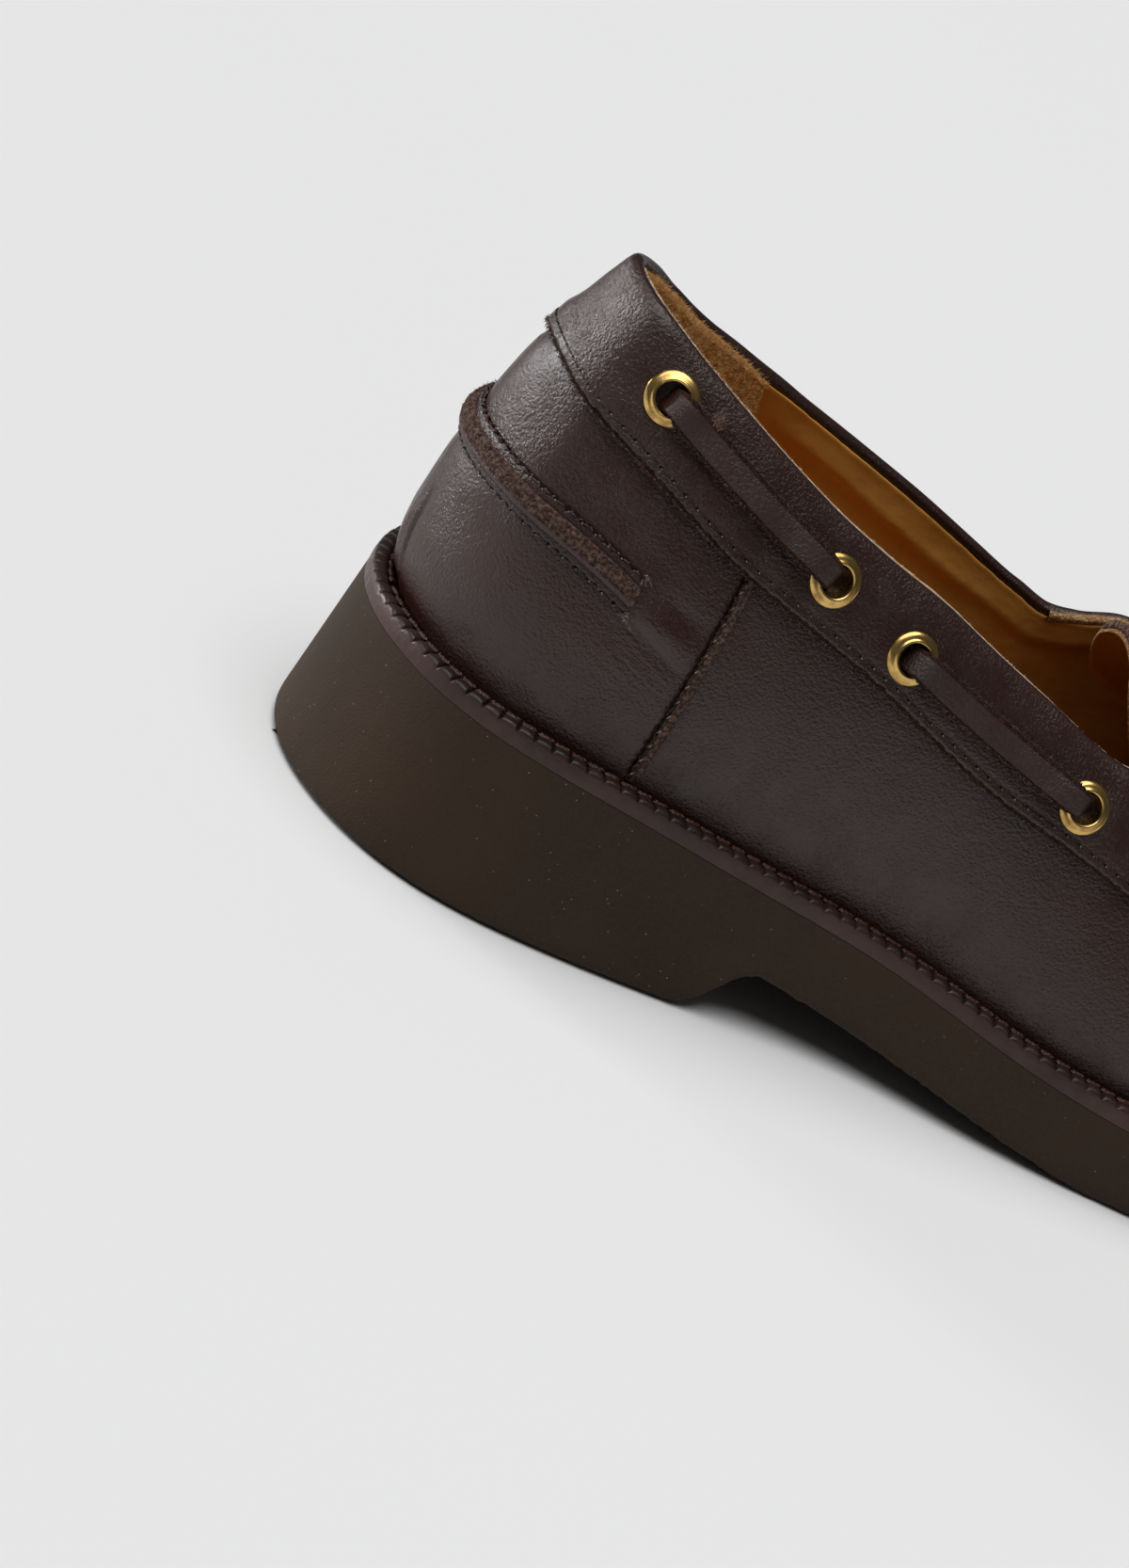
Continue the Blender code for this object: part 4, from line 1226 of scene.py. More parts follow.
def upper_place(first, last):
    """The outside of a panel between two stations, its side edges rolled in at the seam."""
    def place(u, v):
        station = first + (last - first) * u
        foot = np.clip(v / 0.04, 0, 1)
        joined = joined_share(station)
        part = np.clip((v - 0.04) / 0.96, 0, 1) * (0.955 + 0.045 * joined)
        points = wall(station, part)
        beside = around(station, WELT_WIDTH, 0.1)
        normal = wall_normal(station, np.maximum(part, 0.01))
        to_seam = np.minimum(
            np.linalg.norm(points - wall(first, part), axis=-1),
            np.linalg.norm(points - wall(last, part), axis=-1),
        )
        roll = 0.7 * np.exp(-(to_seam / 0.6) ** 2) + 0.3 * np.exp(-(to_seam / 2.2) ** 2)
        pucker = 0.12 * np.exp(-(to_seam / 3.0) ** 2) * ripple(points, 2.2, 5)
        slack = 0.16 * ripple(points, 16, 2) + 0.05 * ripple(points, 5, 8)
        lift = slack + pucker - roll - crease_depth(points, station) + heel_bulge(points, station)
        lift = lift * np.clip(part / 0.05, 0, 1) - 0.15
        lift = lift * (1 - joined * np.clip((part - 0.94) / 0.06, 0, 1))
        points = points + lift[:, None] * normal
        return beside * (1 - foot)[:, None] + points * foot[:, None]
    return place


LINING_SECTION = [
    # v, share of the way up the wall, of its edge's height, millimetres, lift, raggedness
    (0.00, 0.02, 0.0, 0.0, -2.05, 0),
    (0.28, 0.72, 0.0, 0.0, -2.05, 0),
    (0.50, 0.90, 0.2, 0.0, -2.05, 0),
    (0.56, 0.96, 0.7, 0.0, -1.90, 0),
    (0.60, 1.00, 1.0, -0.3, -1.70, 0),
    (0.62, 1.00, 1.0, -0.08, -1.62, 1),
    (0.64, 1.00, 1.0, 0.0, -1.52, 1),
    (0.66, 1.00, 1.0, 0.0, -1.36, 1),
    (0.68, 1.00, 1.0, -0.08, -1.28, 1),
    (0.70, 1.00, 1.0, -0.3, -1.24, 0),
    (0.74, 0.93, 0.5, 0.0, -1.40, 0),
    (0.97, 0.02, 0.0, 0.0, -1.46, 0),
    (1.00, 0.02, 0.0, 0.0, -2.05, 0),
]
# The height of the lining's edge over the plain top edge, along the inner side.
LINING_EDGE = [
    # signed station, millimetres
    (-12.0, 0.0), (-7.5, 0.0), (-5.9, 0.3), (-5.56, -0.2), (-5.3, -0.65), (-5.0, -0.5),
    (-4.6, -0.2), (-3.9, -0.25), (-3.6, 0.3), (-3.4, 0.7), (-3.0, 0.8), (-2.0, 0.6),
    (-1.2, 0.0), (-0.6, -0.5), (-0.25, -0.8),
]
# The roll in which it stands off under the inner side's rim.
LINING_ROLL = [
    # millimetres below the top edge, lift
    (0, 0.0), (1.5, -0.12), (3.5, -0.6), (5.3, -1.0), (6.3, -0.85), (7.6, -0.35), (9, -0.15),
    (12, -0.25), (17, -0.15), (24, 0.0),
]
# On the outer side its edge stands over the rim's own rise by just enough to be seen.
LINING_PROUD = [
    # signed station, millimetres
    (-0.25, -0.6), (-0.1, -0.1), (0.0, 0.17), (0.4, 0.37), (1.0, 0.48), (1.5, 0.7),
    (2.0, 0.85), (2.5, 1.05), (3.0, 1.17), (4.4, 1.25), (5.0, 1.12), (5.8, 0.8),
]


def lining_proud(station):
    """How far the lining's edge stands over the rim on the outer side."""
    return follow(LINING_PROUD, signed(station))[0]


def lining_edge(station):
    """The height of the lining's cut edge over the plain top edge."""
    inner = follow(LINING_EDGE, signed(station))[0]
    return np.where(signed(station) > -0.25, rim_rise(station) + lining_proud(station), inner)


def lining_folds(points, station):
    """The lining stands off in a roll under the inner side's rim, with a fold under it."""
    below = np.linalg.norm(points - wall(station, 1.0), axis=-1)
    along = np.interp(signed(station), [-7.5, -5.6, -5.0, -3.7, -3.3, 12], [0.3, 0.6, 1, 1, 0, 0])
    return along * smooth(LINING_ROLL, below + 0.6 * np.sin(signed(station) * 3.1))


def make_lining():
    """The calf lining, from the sock up to the collar, where its cut edge shows."""
    def place(u, v):
        station = u * STATIONS
        joined = joined_share(station)
        share, climb, over, lift, ragged = follow(LINING_SECTION, v)
        part = share * (1 - 0.10 * joined)
        plain_wall = wall(station, part)
        slack = -0.12 * (ripple(plain_wall, 9, 12) + 1) + lining_folds(plain_wall, station)
        lift = lift + slack * np.clip((-1.62 - lift) / 0.4, 0, 1)
        points = skin(station, part, lift[:, None])
        lifted = (climb * lining_edge(station) + over) * (1 - joined)
        lifted = lifted + 0.13 * ragged * ripple(points, 0.7, 2)
        return points + lifted[:, None] * rise_of(station)

    def paint(u, v):
        return int(0.605 < v < 0.695 and (u < 0.31 or u > 0.985))

    build = surface(600, 80, place, paint=paint)
    piece("calf_lining", solid(build), golden_lining, pale_edge, slot="insole_leather")


def make_rim_fibres():
    """Stray fibres of the lining's cut edge along the outer side's rim."""
    build = bmesh.new()
    draw = np.random.default_rng(17)
    station = np.concatenate([draw.uniform(0.1, 5.5, 200), draw.normal(2.2, 0.6, 200)])
    rise = rise_of(station)
    base = on_wall(station, 0, draw.uniform(-1.6, -1.2, 400))
    base = base + (rim_rise(station) + lining_proud(station) - 0.1)[:, None] * rise
    for k in range(len(station)):
        lean = unit(rise[k] + draw.normal(0, 0.7, 3))
        fibre(build, base[k], lean, draw.uniform(0.2, 0.55))
    piece("rim_fibres", build, pale_edge)


def make_upper():
    """The heel quarter and the vamp: two panels of lined leather meeting at the seams."""
    rear = surface(340, 62, upper_place(-QUARTER_SEAM, QUARTER_SEAM))
    front = surface(420, 54, upper_place(QUARTER_SEAM, STATIONS - QUARTER_SEAM))
    for name, build in (("heel_quarter", rear), ("vamp", front)):
        bmesh.ops.recalc_face_normals(build, faces=build.faces)
        outward_faces(build)
        panel = piece(
            name, build, upper_leather, raw_brown, raw_brown,
            stands_for=["upper"], slot="upper_leather",
        )
        thicken(panel, PANEL_THICKNESS)


def outward_faces(build):
    """Turns an open sheet so that its faces look away from the middle of the shoe."""
    build.faces.ensure_lookup_table()
    total = 0.0
    for face in build.faces:
        middle = face.calc_center_median()
        # between the heel and the toe only the way to the side counts
        away = Vector((0.0, middle.y, 0.0)) if abs(middle.x) < 0.09 else Vector(middle)
        away.z = max(0.0, middle.z - 0.04)
        total += face.normal.dot(away) * face.calc_area()
    if total < 0:
        bmesh.ops.reverse_faces(build, faces=build.faces)


# The band's section. Distance below the top edge is a share of the band's depth plus
# millimetres; lift is over the upper's outside.
BAND_SECTION = [
    # v, share, millimetres, lift
    (0.00, 1, 0.00, 0.30),
    (0.02, 1, 0.15, 0.50),
    (0.04, 1, 0.10, 1.00),
    (0.06, 1, -0.30, 1.60),
    (0.08, 1, -0.80, 2.05),
    (0.10, 1, -1.40, 2.10),
    (0.13, 1, -2.80, 1.95),
    (0.48, 0, 4.00, 1.95),
    (0.52, 0, 1.90, 1.88),
    (0.55, 0, 0.80, 1.62),
    (0.58, 0, 0.10, 1.22),
    (0.61, 0, -0.28, 0.70),
    (0.64, 0, -0.40, 0.15),
    (0.68, 0, -0.38, -0.45),
    (0.72, 0, -0.22, -0.90),
    (0.76, 0, 0.20, -1.15),
    (0.82, 0, 1.50, -1.30),
    (0.86, 0, 1.85, -1.10),
    (0.90, 0, 1.75, -0.20),
    (0.93, 0, 1.90, 0.30),
    (1.00, 1, 0.00, 0.30),
]


def band_relief(points, station, distance):
    """Soft waves of the band, and the groove that its stitches pull in."""
    depth = 0.12 * ripple(points, 13, 4) + 0.05 * ripple(points, 4, 6)
    groove = np.exp(-((distance - SEAM_DEPTH(station) + STITCH_INSET) / 0.55) ** 2)
    return depth - 0.28 * groove


# At the back of the heel the band lies closer to the wall than its plain section does.
BAND_THIN = [
    # distance below the top edge, millimetres
    (0, 0.1), (1.5, 0.5), (4, 0.7), (7, 0.75), (10, 0.75), (12, 0.6), (14, 0.2),
]


def make_band():
    """The padded collar band, its lower edge raw and its upper edge folded in over the rim."""
    def place(u, v):
        station = (2 * u - 1) * BAND_SPAN
        share, extra, lift = follow(BAND_SECTION, v)
        distance = share * SEAM_DEPTH(station) + extra
        thin = follow(BAND_THIN, distance)[0]
        thin = thin * np.exp(-((station + 0.32) / 0.7) ** 2) * np.clip(lift / 1.9, 0, 1)
        distance = distance - rim_rise(station) * np.clip(1 - distance / 9, 0, 1)
        points = on_wall(station, distance, lift - thin)
        outer = (v > 0.06) & (v < 0.56)
        relief = band_relief(points, station, distance) * outer
        points = points + relief[:, None] * normal_below(station, distance)
        raw = ((v >= 0.02) & (v <= 0.085))[:, None]
        rough = ripple(points, 0.8, 1) + 0.7 * ripple(points, 0.4, 8)
        fall = unit(wall(station, 0.4) - wall(station, 0.6))
        return points + raw * 0.34 * rough[:, None] * fall

    build = surface(760, 52, place, paint=lambda u, v: int(v < 0.075 or v > 0.97))
    return piece(
        "collar_binding", solid(build), band_leather, raw_dark,
        stands_for=["collar_band"], slot="band_leather",
    )


def make_band_stitches():
    """The band's row of stitches, in a groove above its raw lower edge."""
    station = np.linspace(-BAND_SPAN + 0.06, BAND_SPAN - 0.06, 1201)
    distance = SEAM_DEPTH(station) - STITCH_INSET
    row = on_wall(station, distance, 1.66), normal_below(station, distance)
    stitches("band", [row], STITCH_PITCH, (2.1, 0.42, 0.4))


def make_band_fibres():
    """The fuzz on the band's raw lower edge."""
    build = bmesh.new()
    draw = np.random.default_rng(11)
    station = np.sort(draw.uniform(-BAND_SPAN, BAND_SPAN, 3200))
    distance = SEAM_DEPTH(station)
    low = on_wall(station, distance - 0.1, draw.uniform(0.9, 1.9, len(station)))
    down = unit(on_wall(station, distance + 1.0, 1) - on_wall(station, distance, 1))
    normals = normal_below(station, distance)
    for point, fall, normal in zip(low, down, normals):
        tangent = np.cross(fall, normal)
        along = unit(fall + 0.8 * draw.normal() * tangent + (0.4 + 0.5 * draw.normal()) * normal)
        fibre(build, point, along, draw.uniform(0.25, 0.8))
    piece("band_fuzz", build, raw_brown)


def strip_height(station):
    """The height of the strip's centre line over the floor."""
    return STRIP_HEIGHT - STRIP_DROP * np.abs(station / STRIP_END) ** 4


def make_strip():
    """The heel strip: a thin flange with a scalloped cut edge, and on it a folded ridge
    that shows the raw side of the leather above and its smooth side below."""
    flange = [
        # v, across (of half the width), lift
        (0.0, -0.98, 0.0), (0.06, -1.0, 0.3), (0.12, -0.97, 0.62), (0.2, -0.85, 0.75),
        (0.4, 0.0, 0.8), (0.55, 0.85, 0.75), (0.62, 0.97, 0.62), (0.68, 1.0, 0.3),
        (0.74, 0.98, 0.0), (1.0, -0.98, 0.0),
    ]
    ridge = [
        (0.0, -0.98, 0.4), (0.05, -1.06, 0.9), (0.12, -1.0, 1.4), (0.20, -0.8, 1.8),
        (0.28, -0.55, 1.98), (0.33, -0.45, 2.02), (0.36, -0.38, 1.92), (0.42, -0.2, 2.1),
        (0.50, 0.2, 2.2), (0.58, 0.6, 2.0), (0.64, 0.85, 1.6), (0.70, 0.95, 1.0),
        (0.76, 0.95, 0.4), (1.0, -0.98, 0.4),
    ]

    def place_with(section, half, scallop, rough, nap):
        def place(u, v):
            at = STRIP_END * (2 * u - 1)
            across, lift = follow(section, v)
            reach = across * (half + scallop * np.cos(np.abs(at) * STRIP_WAVES))
            part = part_at_height(at, strip_height(at) + reach)
            points = skin(at, part, lift[:, None])
            grain = ripple(points, nap, 3) + 0.7 * ripple(points, nap / 2, 9)
            raw = (v > 0.34) & (v < 0.7) if scallop == 0 else np.abs(across) > 0.9
            push = np.where(raw, rough * grain, 0.05 * ripple(points, 3, 4))
            return points + push[:, None] * wall_normal(at, part)
        return place

    for name, section, half, scallop, rough, nap, raw in (
        ("heel_strip_flange", flange, 3.35, 0.28, 0.1, 0.8, (0.0, 0.1)),
        ("heel_strip_ridge", ridge, 1.95, 0.0, 0.26, 1.1, (0.34, 0.74)),
    ):
        build = surface(
            600, 30, place_with(section, half, scallop, rough, nap),
            paint=lambda u, v, raw=raw: int(raw[0] < v < raw[1] or not 0.004 < u < 0.996),
        )
        piece(
            name, solid(build), upper_leather, strip_raw, stands_for=["heel_strip"],
            slot="raw_leather",
        )


def make_strip_stitches():
    """A row of stitches along both edges of the strip."""
    station = np.linspace(-STRIP_END, STRIP_END, 900)
    parts = [part_at_height(station, strip_height(station) + offset) for offset in (-3.2, 3.2)]
    rows = [(skin(station, part, 0.55), wall_normal(station, part)) for part in parts]
    stitches("strip", rows, STRIP_PITCH, (2.0, 0.55, 0.5))


def make_strip_fibres():
    """Fibres of the ridge's raw face, and a tuft of thread at each end of the strip."""
    build, tuft = bmesh.new(), bmesh.new()
    draw = np.random.default_rng(21)
    station = draw.uniform(-STRIP_END, STRIP_END, 1500)
    reach = draw.uniform(-0.6, 1.8, len(station))
    part = part_at_height(station, strip_height(station) + reach)
    normal = wall_normal(station, part)
    base = skin(station, part, 2.0 - 0.25 * np.abs(reach - 0.5)[:, None])
    along = unit(wall(station + 0.01, part) - wall(station - 0.01, part))
    for k in range(len(station)):
        lean = along[k] * draw.normal() + normal[k] * draw.uniform(0.1, 0.6)
        lean = unit(lean + 0.4 * draw.normal(0, 1, 3))
        fibre(build, base[k], lean, draw.uniform(0.3, 0.9))
    for side in (-1, 1):
        at = side * (STRIP_END + 0.01)
        for reach, count in ((-3.3, 46), (3.4, 26)):
            part = float(part_at_height(at, strip_height(at) + reach))
            place, normal = skin(at, part, 0.5), wall_normal(at, part)
            for _ in range(count):
                spot = place + draw.normal(0, 0.45, 3)
                lean = unit(normal + draw.normal(0, 0.9, 3))
                fibre(tuft, spot, lean, draw.uniform(0.4, 1.1))
    piece("strip_tufts", tuft, worn_thread_and_painted_glints)
    piece("strip_fibres", build, strip_raw)


def make_quarter_seams():
    """A raw edge stands out of each quarter seam, and a corded thread lies beside it."""
    raw, thread, ends = bmesh.new(), bmesh.new(), bmesh.new()
    section = [
        (0.0, -0.95, -0.8), (0.15, -0.9, -0.1), (0.3, -0.6, 0.22), (0.5, 0.0, 0.32),
        (0.7, 0.5, 0.22), (0.85, 0.85, -0.1), (1.0, 0.9, -0.8),
    ]
    for sign in (1, -1):
        station = sign * QUARTER_SEAM
        parts = np.linspace(0.005, float(seam_part(station)) + 0.01, 160)
        line = wall(station, parts)
        normal = wall_normal(station, parts)
        forward = sign * unit(np.cross(np.gradient(line, axis=0), normal))
        wander = 0.12 * ripple(line, 1.3, 6)[:, None]
        sweep(line + (0.55 + wander) * forward, forward, normal, section, 14, False, raw)
        places, along, share = walk(line - 0.55 * forward, 1.5)
        at = np.rint(share * 159).astype(int)
        draw = np.random.default_rng(41)
        for k in range(len(places) - 1):
            up, side = normal[at[k]], forward[at[k]]
            spot = places[k] + 0.1 * up + draw.uniform(-0.15, 0.15) * side
            lean = along[k] + draw.uniform(0.2, 0.9) * side * (1 if k % 3 else -1)
            bead(thread, spot, lean, up, (draw.uniform(1.1, 2.0), draw.uniform(0.3, 0.5), 0.55))
            # Every second stitch gets a small pale bead on its top: a painted highlight.
            if k % 2:
                tip = places[k] + 0.42 * up + 0.1 * side
                bead(ends, tip, along[k] + 0.5 * side, up, (0.9, 0.2, 0.2))
    piece("quarter_seam_cord", thread, dark_thread)
    piece("quarter_seam_lit_ends", ends, worn_thread_and_painted_glints)
    piece("quarter_seam_edge", solid(raw), strip_raw)


def make_moccasin_seam():
    """The raised seam of the toe: a rolled ridge with a stitch over it every 4 mm."""
    station = np.linspace(BAND_SPAN + 0.02, STATIONS - BAND_SPAN - 0.02, 500)
    part = seam_part(station)
    line = wall(station, part)
    normal = wall_normal(station, part)
    side = unit(np.cross(np.gradient(line, axis=0), normal))
    section = [
        (0.0, -1.5, -0.6), (0.15, -1.45, 0.2), (0.3, -1.0, 0.95), (0.42, -0.35, 1.3),
        (0.5, 0.0, 1.35), (0.58, 0.35, 1.3), (0.7, 1.0, 0.95), (0.85, 1.45, 0.2),
        (1.0, 1.5, -0.6),
    ]
    piece("moccasin_seam_roll", sweep(line, side, normal, section, 20), upper_leather)
    build = bmesh.new()
    places, along, share = walk(line, 4.0)
    at = np.rint(share * 499).astype(int)
    for k in range(1, len(places) - 1):
        up, out = normal[at[k]], side[at[k]]
        for sign in (-1, 1):
            bead(build, places[k] + 0.95 * up + 0.75 * sign * out,
                 out * sign - 0.85 * up + 0.2 * along[k], up, (1.9, 0.85, 0.7), sides=8)
    piece("moccasin_seam_stitches", build, dark_thread)


# The tongue, the facings, the heel grip, the eyelets and the laces

def tongue_place(lift):
    """An arched sheet with a rounded free end, lifted off the tongue's outside."""
    places, crowns, radii, halves = np.array(TONGUE).T * [[LENGTH], [INSTEP_HEIGHT], [1], [1]]

    def place(u, v):
        x = places[0] + (places[-1] - places[0]) * u ** 1.6
        crown, radius, half = (steady(places, row, x) for row in (crowns, radii, halves))
        from_end = np.clip((x - places[0]) / TONGUE_CORNER, 0, 1)
        half = half - TONGUE_CORNER * (1 - np.sqrt(1 - (1 - from_end) ** 2))
        y = half * (1 - 2 * v)
        points = np.column_stack([x, y, crown - radius + np.sqrt(radius ** 2 - y ** 2)])
        points[:, 2] += lift + 0.25 * ripple(points, 11, 9) + 0.06 * ripple(points, 3, 2)
        return points
    return place


def make_tongue():
    """The tongue: dark leather over a golden lining, both cut edges bare."""
    for name, lift, thickness, outer, rim in (
        ("tongue_leather", 0.1, 1.5, tongue_leather, raw_brown),
        ("tongue_lining", -1.42, 1.0, golden_lining, raw_tan),
    ):
        build = surface(72, 46, tongue_place(lift))
        bmesh.ops.recalc_face_normals(build, faces=build.faces)
        if sum(face.normal.z for face in build.faces) < 0:
            bmesh.ops.reverse_faces(build, faces=build.faces)
        made = piece(name, build, outer, outer, rim, stands_for=["tongue"], slot="tongue_leather")
        thicken(made, thickness)


FACING_LINES = ((5.55, 7.40), (16.60, 18.44))    # the stations of both facings


def make_facing_edges():
    """The raw tan edge of the lining under each facing, where the band is not folded in."""
    build = bmesh.new()
    section = [
        (0.0, -0.6, -1.6), (0.12, -0.75, -0.6), (0.25, -0.68, 0.3), (0.4, -0.3, 0.6),
        (0.6, 0.3, 0.6), (0.75, 0.68, 0.3), (0.88, 0.75, -0.6), (1.0, 0.6, -1.6),
    ]
    for first, last in FACING_LINES:
        station = np.linspace(first, last, 150)
        normal = wall_normal(station, np.ones(len(station)))
        rise = rise_of(station)
        forward = np.clip((np.abs(signed(station)) - 5.5) / 0.3, 0, 1)
        line = on_wall(station, 0, -1.55 + 1.05 * forward)
        line = line + (rim_rise(station) + 0.1 * forward)[:, None] * rise
        line = line + (0.2 * ripple(line, 1.2, 4) + 0.25 * ripple(line, 6, 2))[:, None] * rise
        sweep(line, normal, rise, section, 16, False, build)
    piece("facing_lining_edges", solid(build), raw_tan)


GRIP_OUTER, GRIP_INNER = 3.0, -3.25     # the stations of its ends
GRIP_SLANT = 0.011      # of the inner end, in stations a millimetre of depth
GRIP_DEPTH = 34.0
# The grip's upper edge, over the rim's own rise.
GRIP_TOP = [
    # signed station, millimetres
    (-3.5, -1.2), (-3.3, -1.0), (-3.0, -0.25), (-2.6, 0.05), (-1.7, -0.05), (-1.2, -0.5),
    (-0.8, -1.3), (0.0, -2.4), (3.0, -2.4),
]


def under_grip_top(distance, station):
    """A distance below the grip's upper edge, as a distance below the plain top edge."""
    over = rim_rise(station) + follow(GRIP_TOP, station)[0]
    return distance - over * np.clip(1 - distance / 12, 0, 1)


def make_grip():
    """The suede heel grip inside the collar: a thin sheet on the lining, over the rim's
    inner lip."""
    section = [
        # v, distance below its upper edge, lift
        (0.0, 0.2, -0.75), (0.02, -0.15, -1.0), (0.04, 0.1, -1.35), (0.07, 0.9, -1.8),
        (0.14, 4.5, -2.6), (0.50, GRIP_DEPTH - 0.4, -2.6), (0.55, GRIP_DEPTH, -2.3),
        (0.6, GRIP_DEPTH, -2.05), (0.95, 3.0, -1.5), (1.0, 0.2, -0.75),
    ]

    def place(u, v):
        distance, lift = follow(section, v)
        start = GRIP_INNER - GRIP_SLANT * np.maximum(distance, 0)
        station = start + (GRIP_OUTER - start) * u
        down = under_grip_top(distance, station)
        points = on_wall(station, down, lift)
        tufted = 0.16 * ripple(points, 1.0, 7) * ((v > 0.01) & (v < 0.5))
        return points - tufted[:, None] * normal_below(station, down)

    piece("suede_heel_grip", solid(surface(300, 64, place)), grip_suede)


def make_grip_nap():
    """The nap of the suede: hairs that lean up and forward, thick along its upper edge."""
    build = bmesh.new()
    draw = np.random.default_rng(8)
    count = 6500
    distance = np.concatenate([draw.uniform(0, 0.8, 1700), 10 * draw.uniform(0, 1, count - 1700)])
    first = GRIP_INNER - GRIP_SLANT * distance
    station = first + (-0.15 - first) * draw.uniform(0, 1, count)
    lift = np.interp(distance, [0.0, 0.3, 0.9, 4.5], [-0.95, -1.45, -1.8, -2.6])
    down = under_grip_top(distance, station)
    base = on_wall(station, down, lift)
    normal, rise = normal_below(station, down), rise_of(station)
    forward = unit(wall(station - 0.02, 0.9) - wall(station + 0.02, 0.9))
    swirl = ripple(base, 4.0, 5)[:, None]
    lean = (0.9 + 0.3 * swirl) * rise - 0.4 * normal + (0.25 + 0.8 * swirl) * forward
    lean = unit(lean + draw.normal(0, 0.3, (count, 3)))
    length = draw.uniform(0.45, 1.05, count) + 0.35 * (distance < 0.8)
    for k in range(count):
        fibre(build, base[k], lean[k], length[k])
    piece("suede_nap", build, nap_suede)


def eyelet_place(name):
    """The eyelet's point on the band's outside, its station, part and facing direction."""
    station, distance = EYELETS[name]
    part = float(part_below_edge(station, distance))
    return station, part, skin(station, part, BAND_FACE), wall_normal(station, part)


def make_eyelets():
    """Rolled brass eyelets: a domed flange around an inner lip, on a short tube."""
    hole, rim = EYELET_HOLE / 2, EYELET_OUTER / 2
    shank = hole + 0.35
    profile = [
        (hole, -2.9), (hole, 0.1), (hole + 0.05, 0.6), (hole + 0.18, 0.95),
        (hole + 0.42, 1.12), (hole + 0.66, 1.04), (hole + 0.80, 0.86), (hole + 0.92, 0.78),
        (hole + 1.25, 0.74), (rim - 0.42, 0.56), (rim - 0.12, 0.32), (rim, 0.08),
        (rim - 0.1, -0.05), (rim - 0.4, -0.1), (shank, -0.1), (shank, -2.9),
    ]
    build = bmesh.new()
    draw = np.random.default_rng(4)
    for name in EYELETS:
        _, _, point, normal = eyelet_place(name)
        verts = [build.verts.new((r * MM, 0, z * MM)) for r, z in profile]
        edges = [build.edges.new(pair) for pair in zip(verts, verts[1:] + verts[:1])]
        bmesh.ops.spin(
            build, geom=verts + edges, cent=(0, 0, 0), axis=(0, 0, 1), angle=math.tau,
            steps=56, use_merge=True,
        )
        ring = [vert for vert in build.verts if not vert.tag]
        lean = Vector(normal) + Vector(draw.normal(0, 0.02, 3))
        place = Matrix.Translation(Vector(to_frame(point))) @ facing(lean)
        bmesh.ops.transform(build, matrix=place, verts=ring)
        for vert in ring:
            vert.tag = True
    bmesh.ops.recalc_face_normals(build, faces=build.faces)
    piece(
        "eyelet_rings", build, brass, stands_for=["eyelet_" + name for name in EYELETS],
        slot="eyelet_brass", sharp=70,
    )


# The lace leaves an eyelet's hole and turns over its rim.
TURN_LOOK = [
    # distance from the hole's middle, height over the band, width
    (0.0, -2.6, 4.4),
    (0.1, -1.2, 4.5),
    (0.8, 0.7, 4.7),
    (2.2, 1.95, 5.0),
    (4.3, 2.25, 5.3),
    (7.0, 1.75, 5.4),
    (11.0, 1.15, 5.4),
]


def over_wall(one, two):
    """A base line for a lace that follows the band from one eyelet to another."""
    (first, part_a, _, _), (last, part_b, _, _) = eyelet_place(one), eyelet_place(two)

    def line(share):
        station = first + (last - first) * share
        part = part_a + (part_b - part_a) * share
        return skin(station, part, BAND_FACE), wall_normal(station, part)
    return line


def over_throat(one, two):
    """A base line for the lace that crosses the tongue, leaving along both facings."""
    (_, _, start, up_a), (_, _, end, up_b) = eyelet_place(one), eyelet_place(two)

    def line(share):
        u = share[:, None]
        base = start * (1 - u) + end * u
        base[:, 2] += THROAT_RISE * (1 - np.abs(2 * share - 1) ** 3)
        return base, unit(up_a * (1 - u) + up_b * u)
    return line


def lace_span(ends):
    """The distance between two eyelets."""
    return np.linalg.norm(eyelet_place(ends[1])[2] - eyelet_place(ends[0])[2])


def across_lace(ends, normal):
    """The direction across the lace between two eyelets."""
    chord = unit(eyelet_place(ends[1])[2] - eyelet_place(ends[0])[2])
    return unit(np.cross(normal, chord))


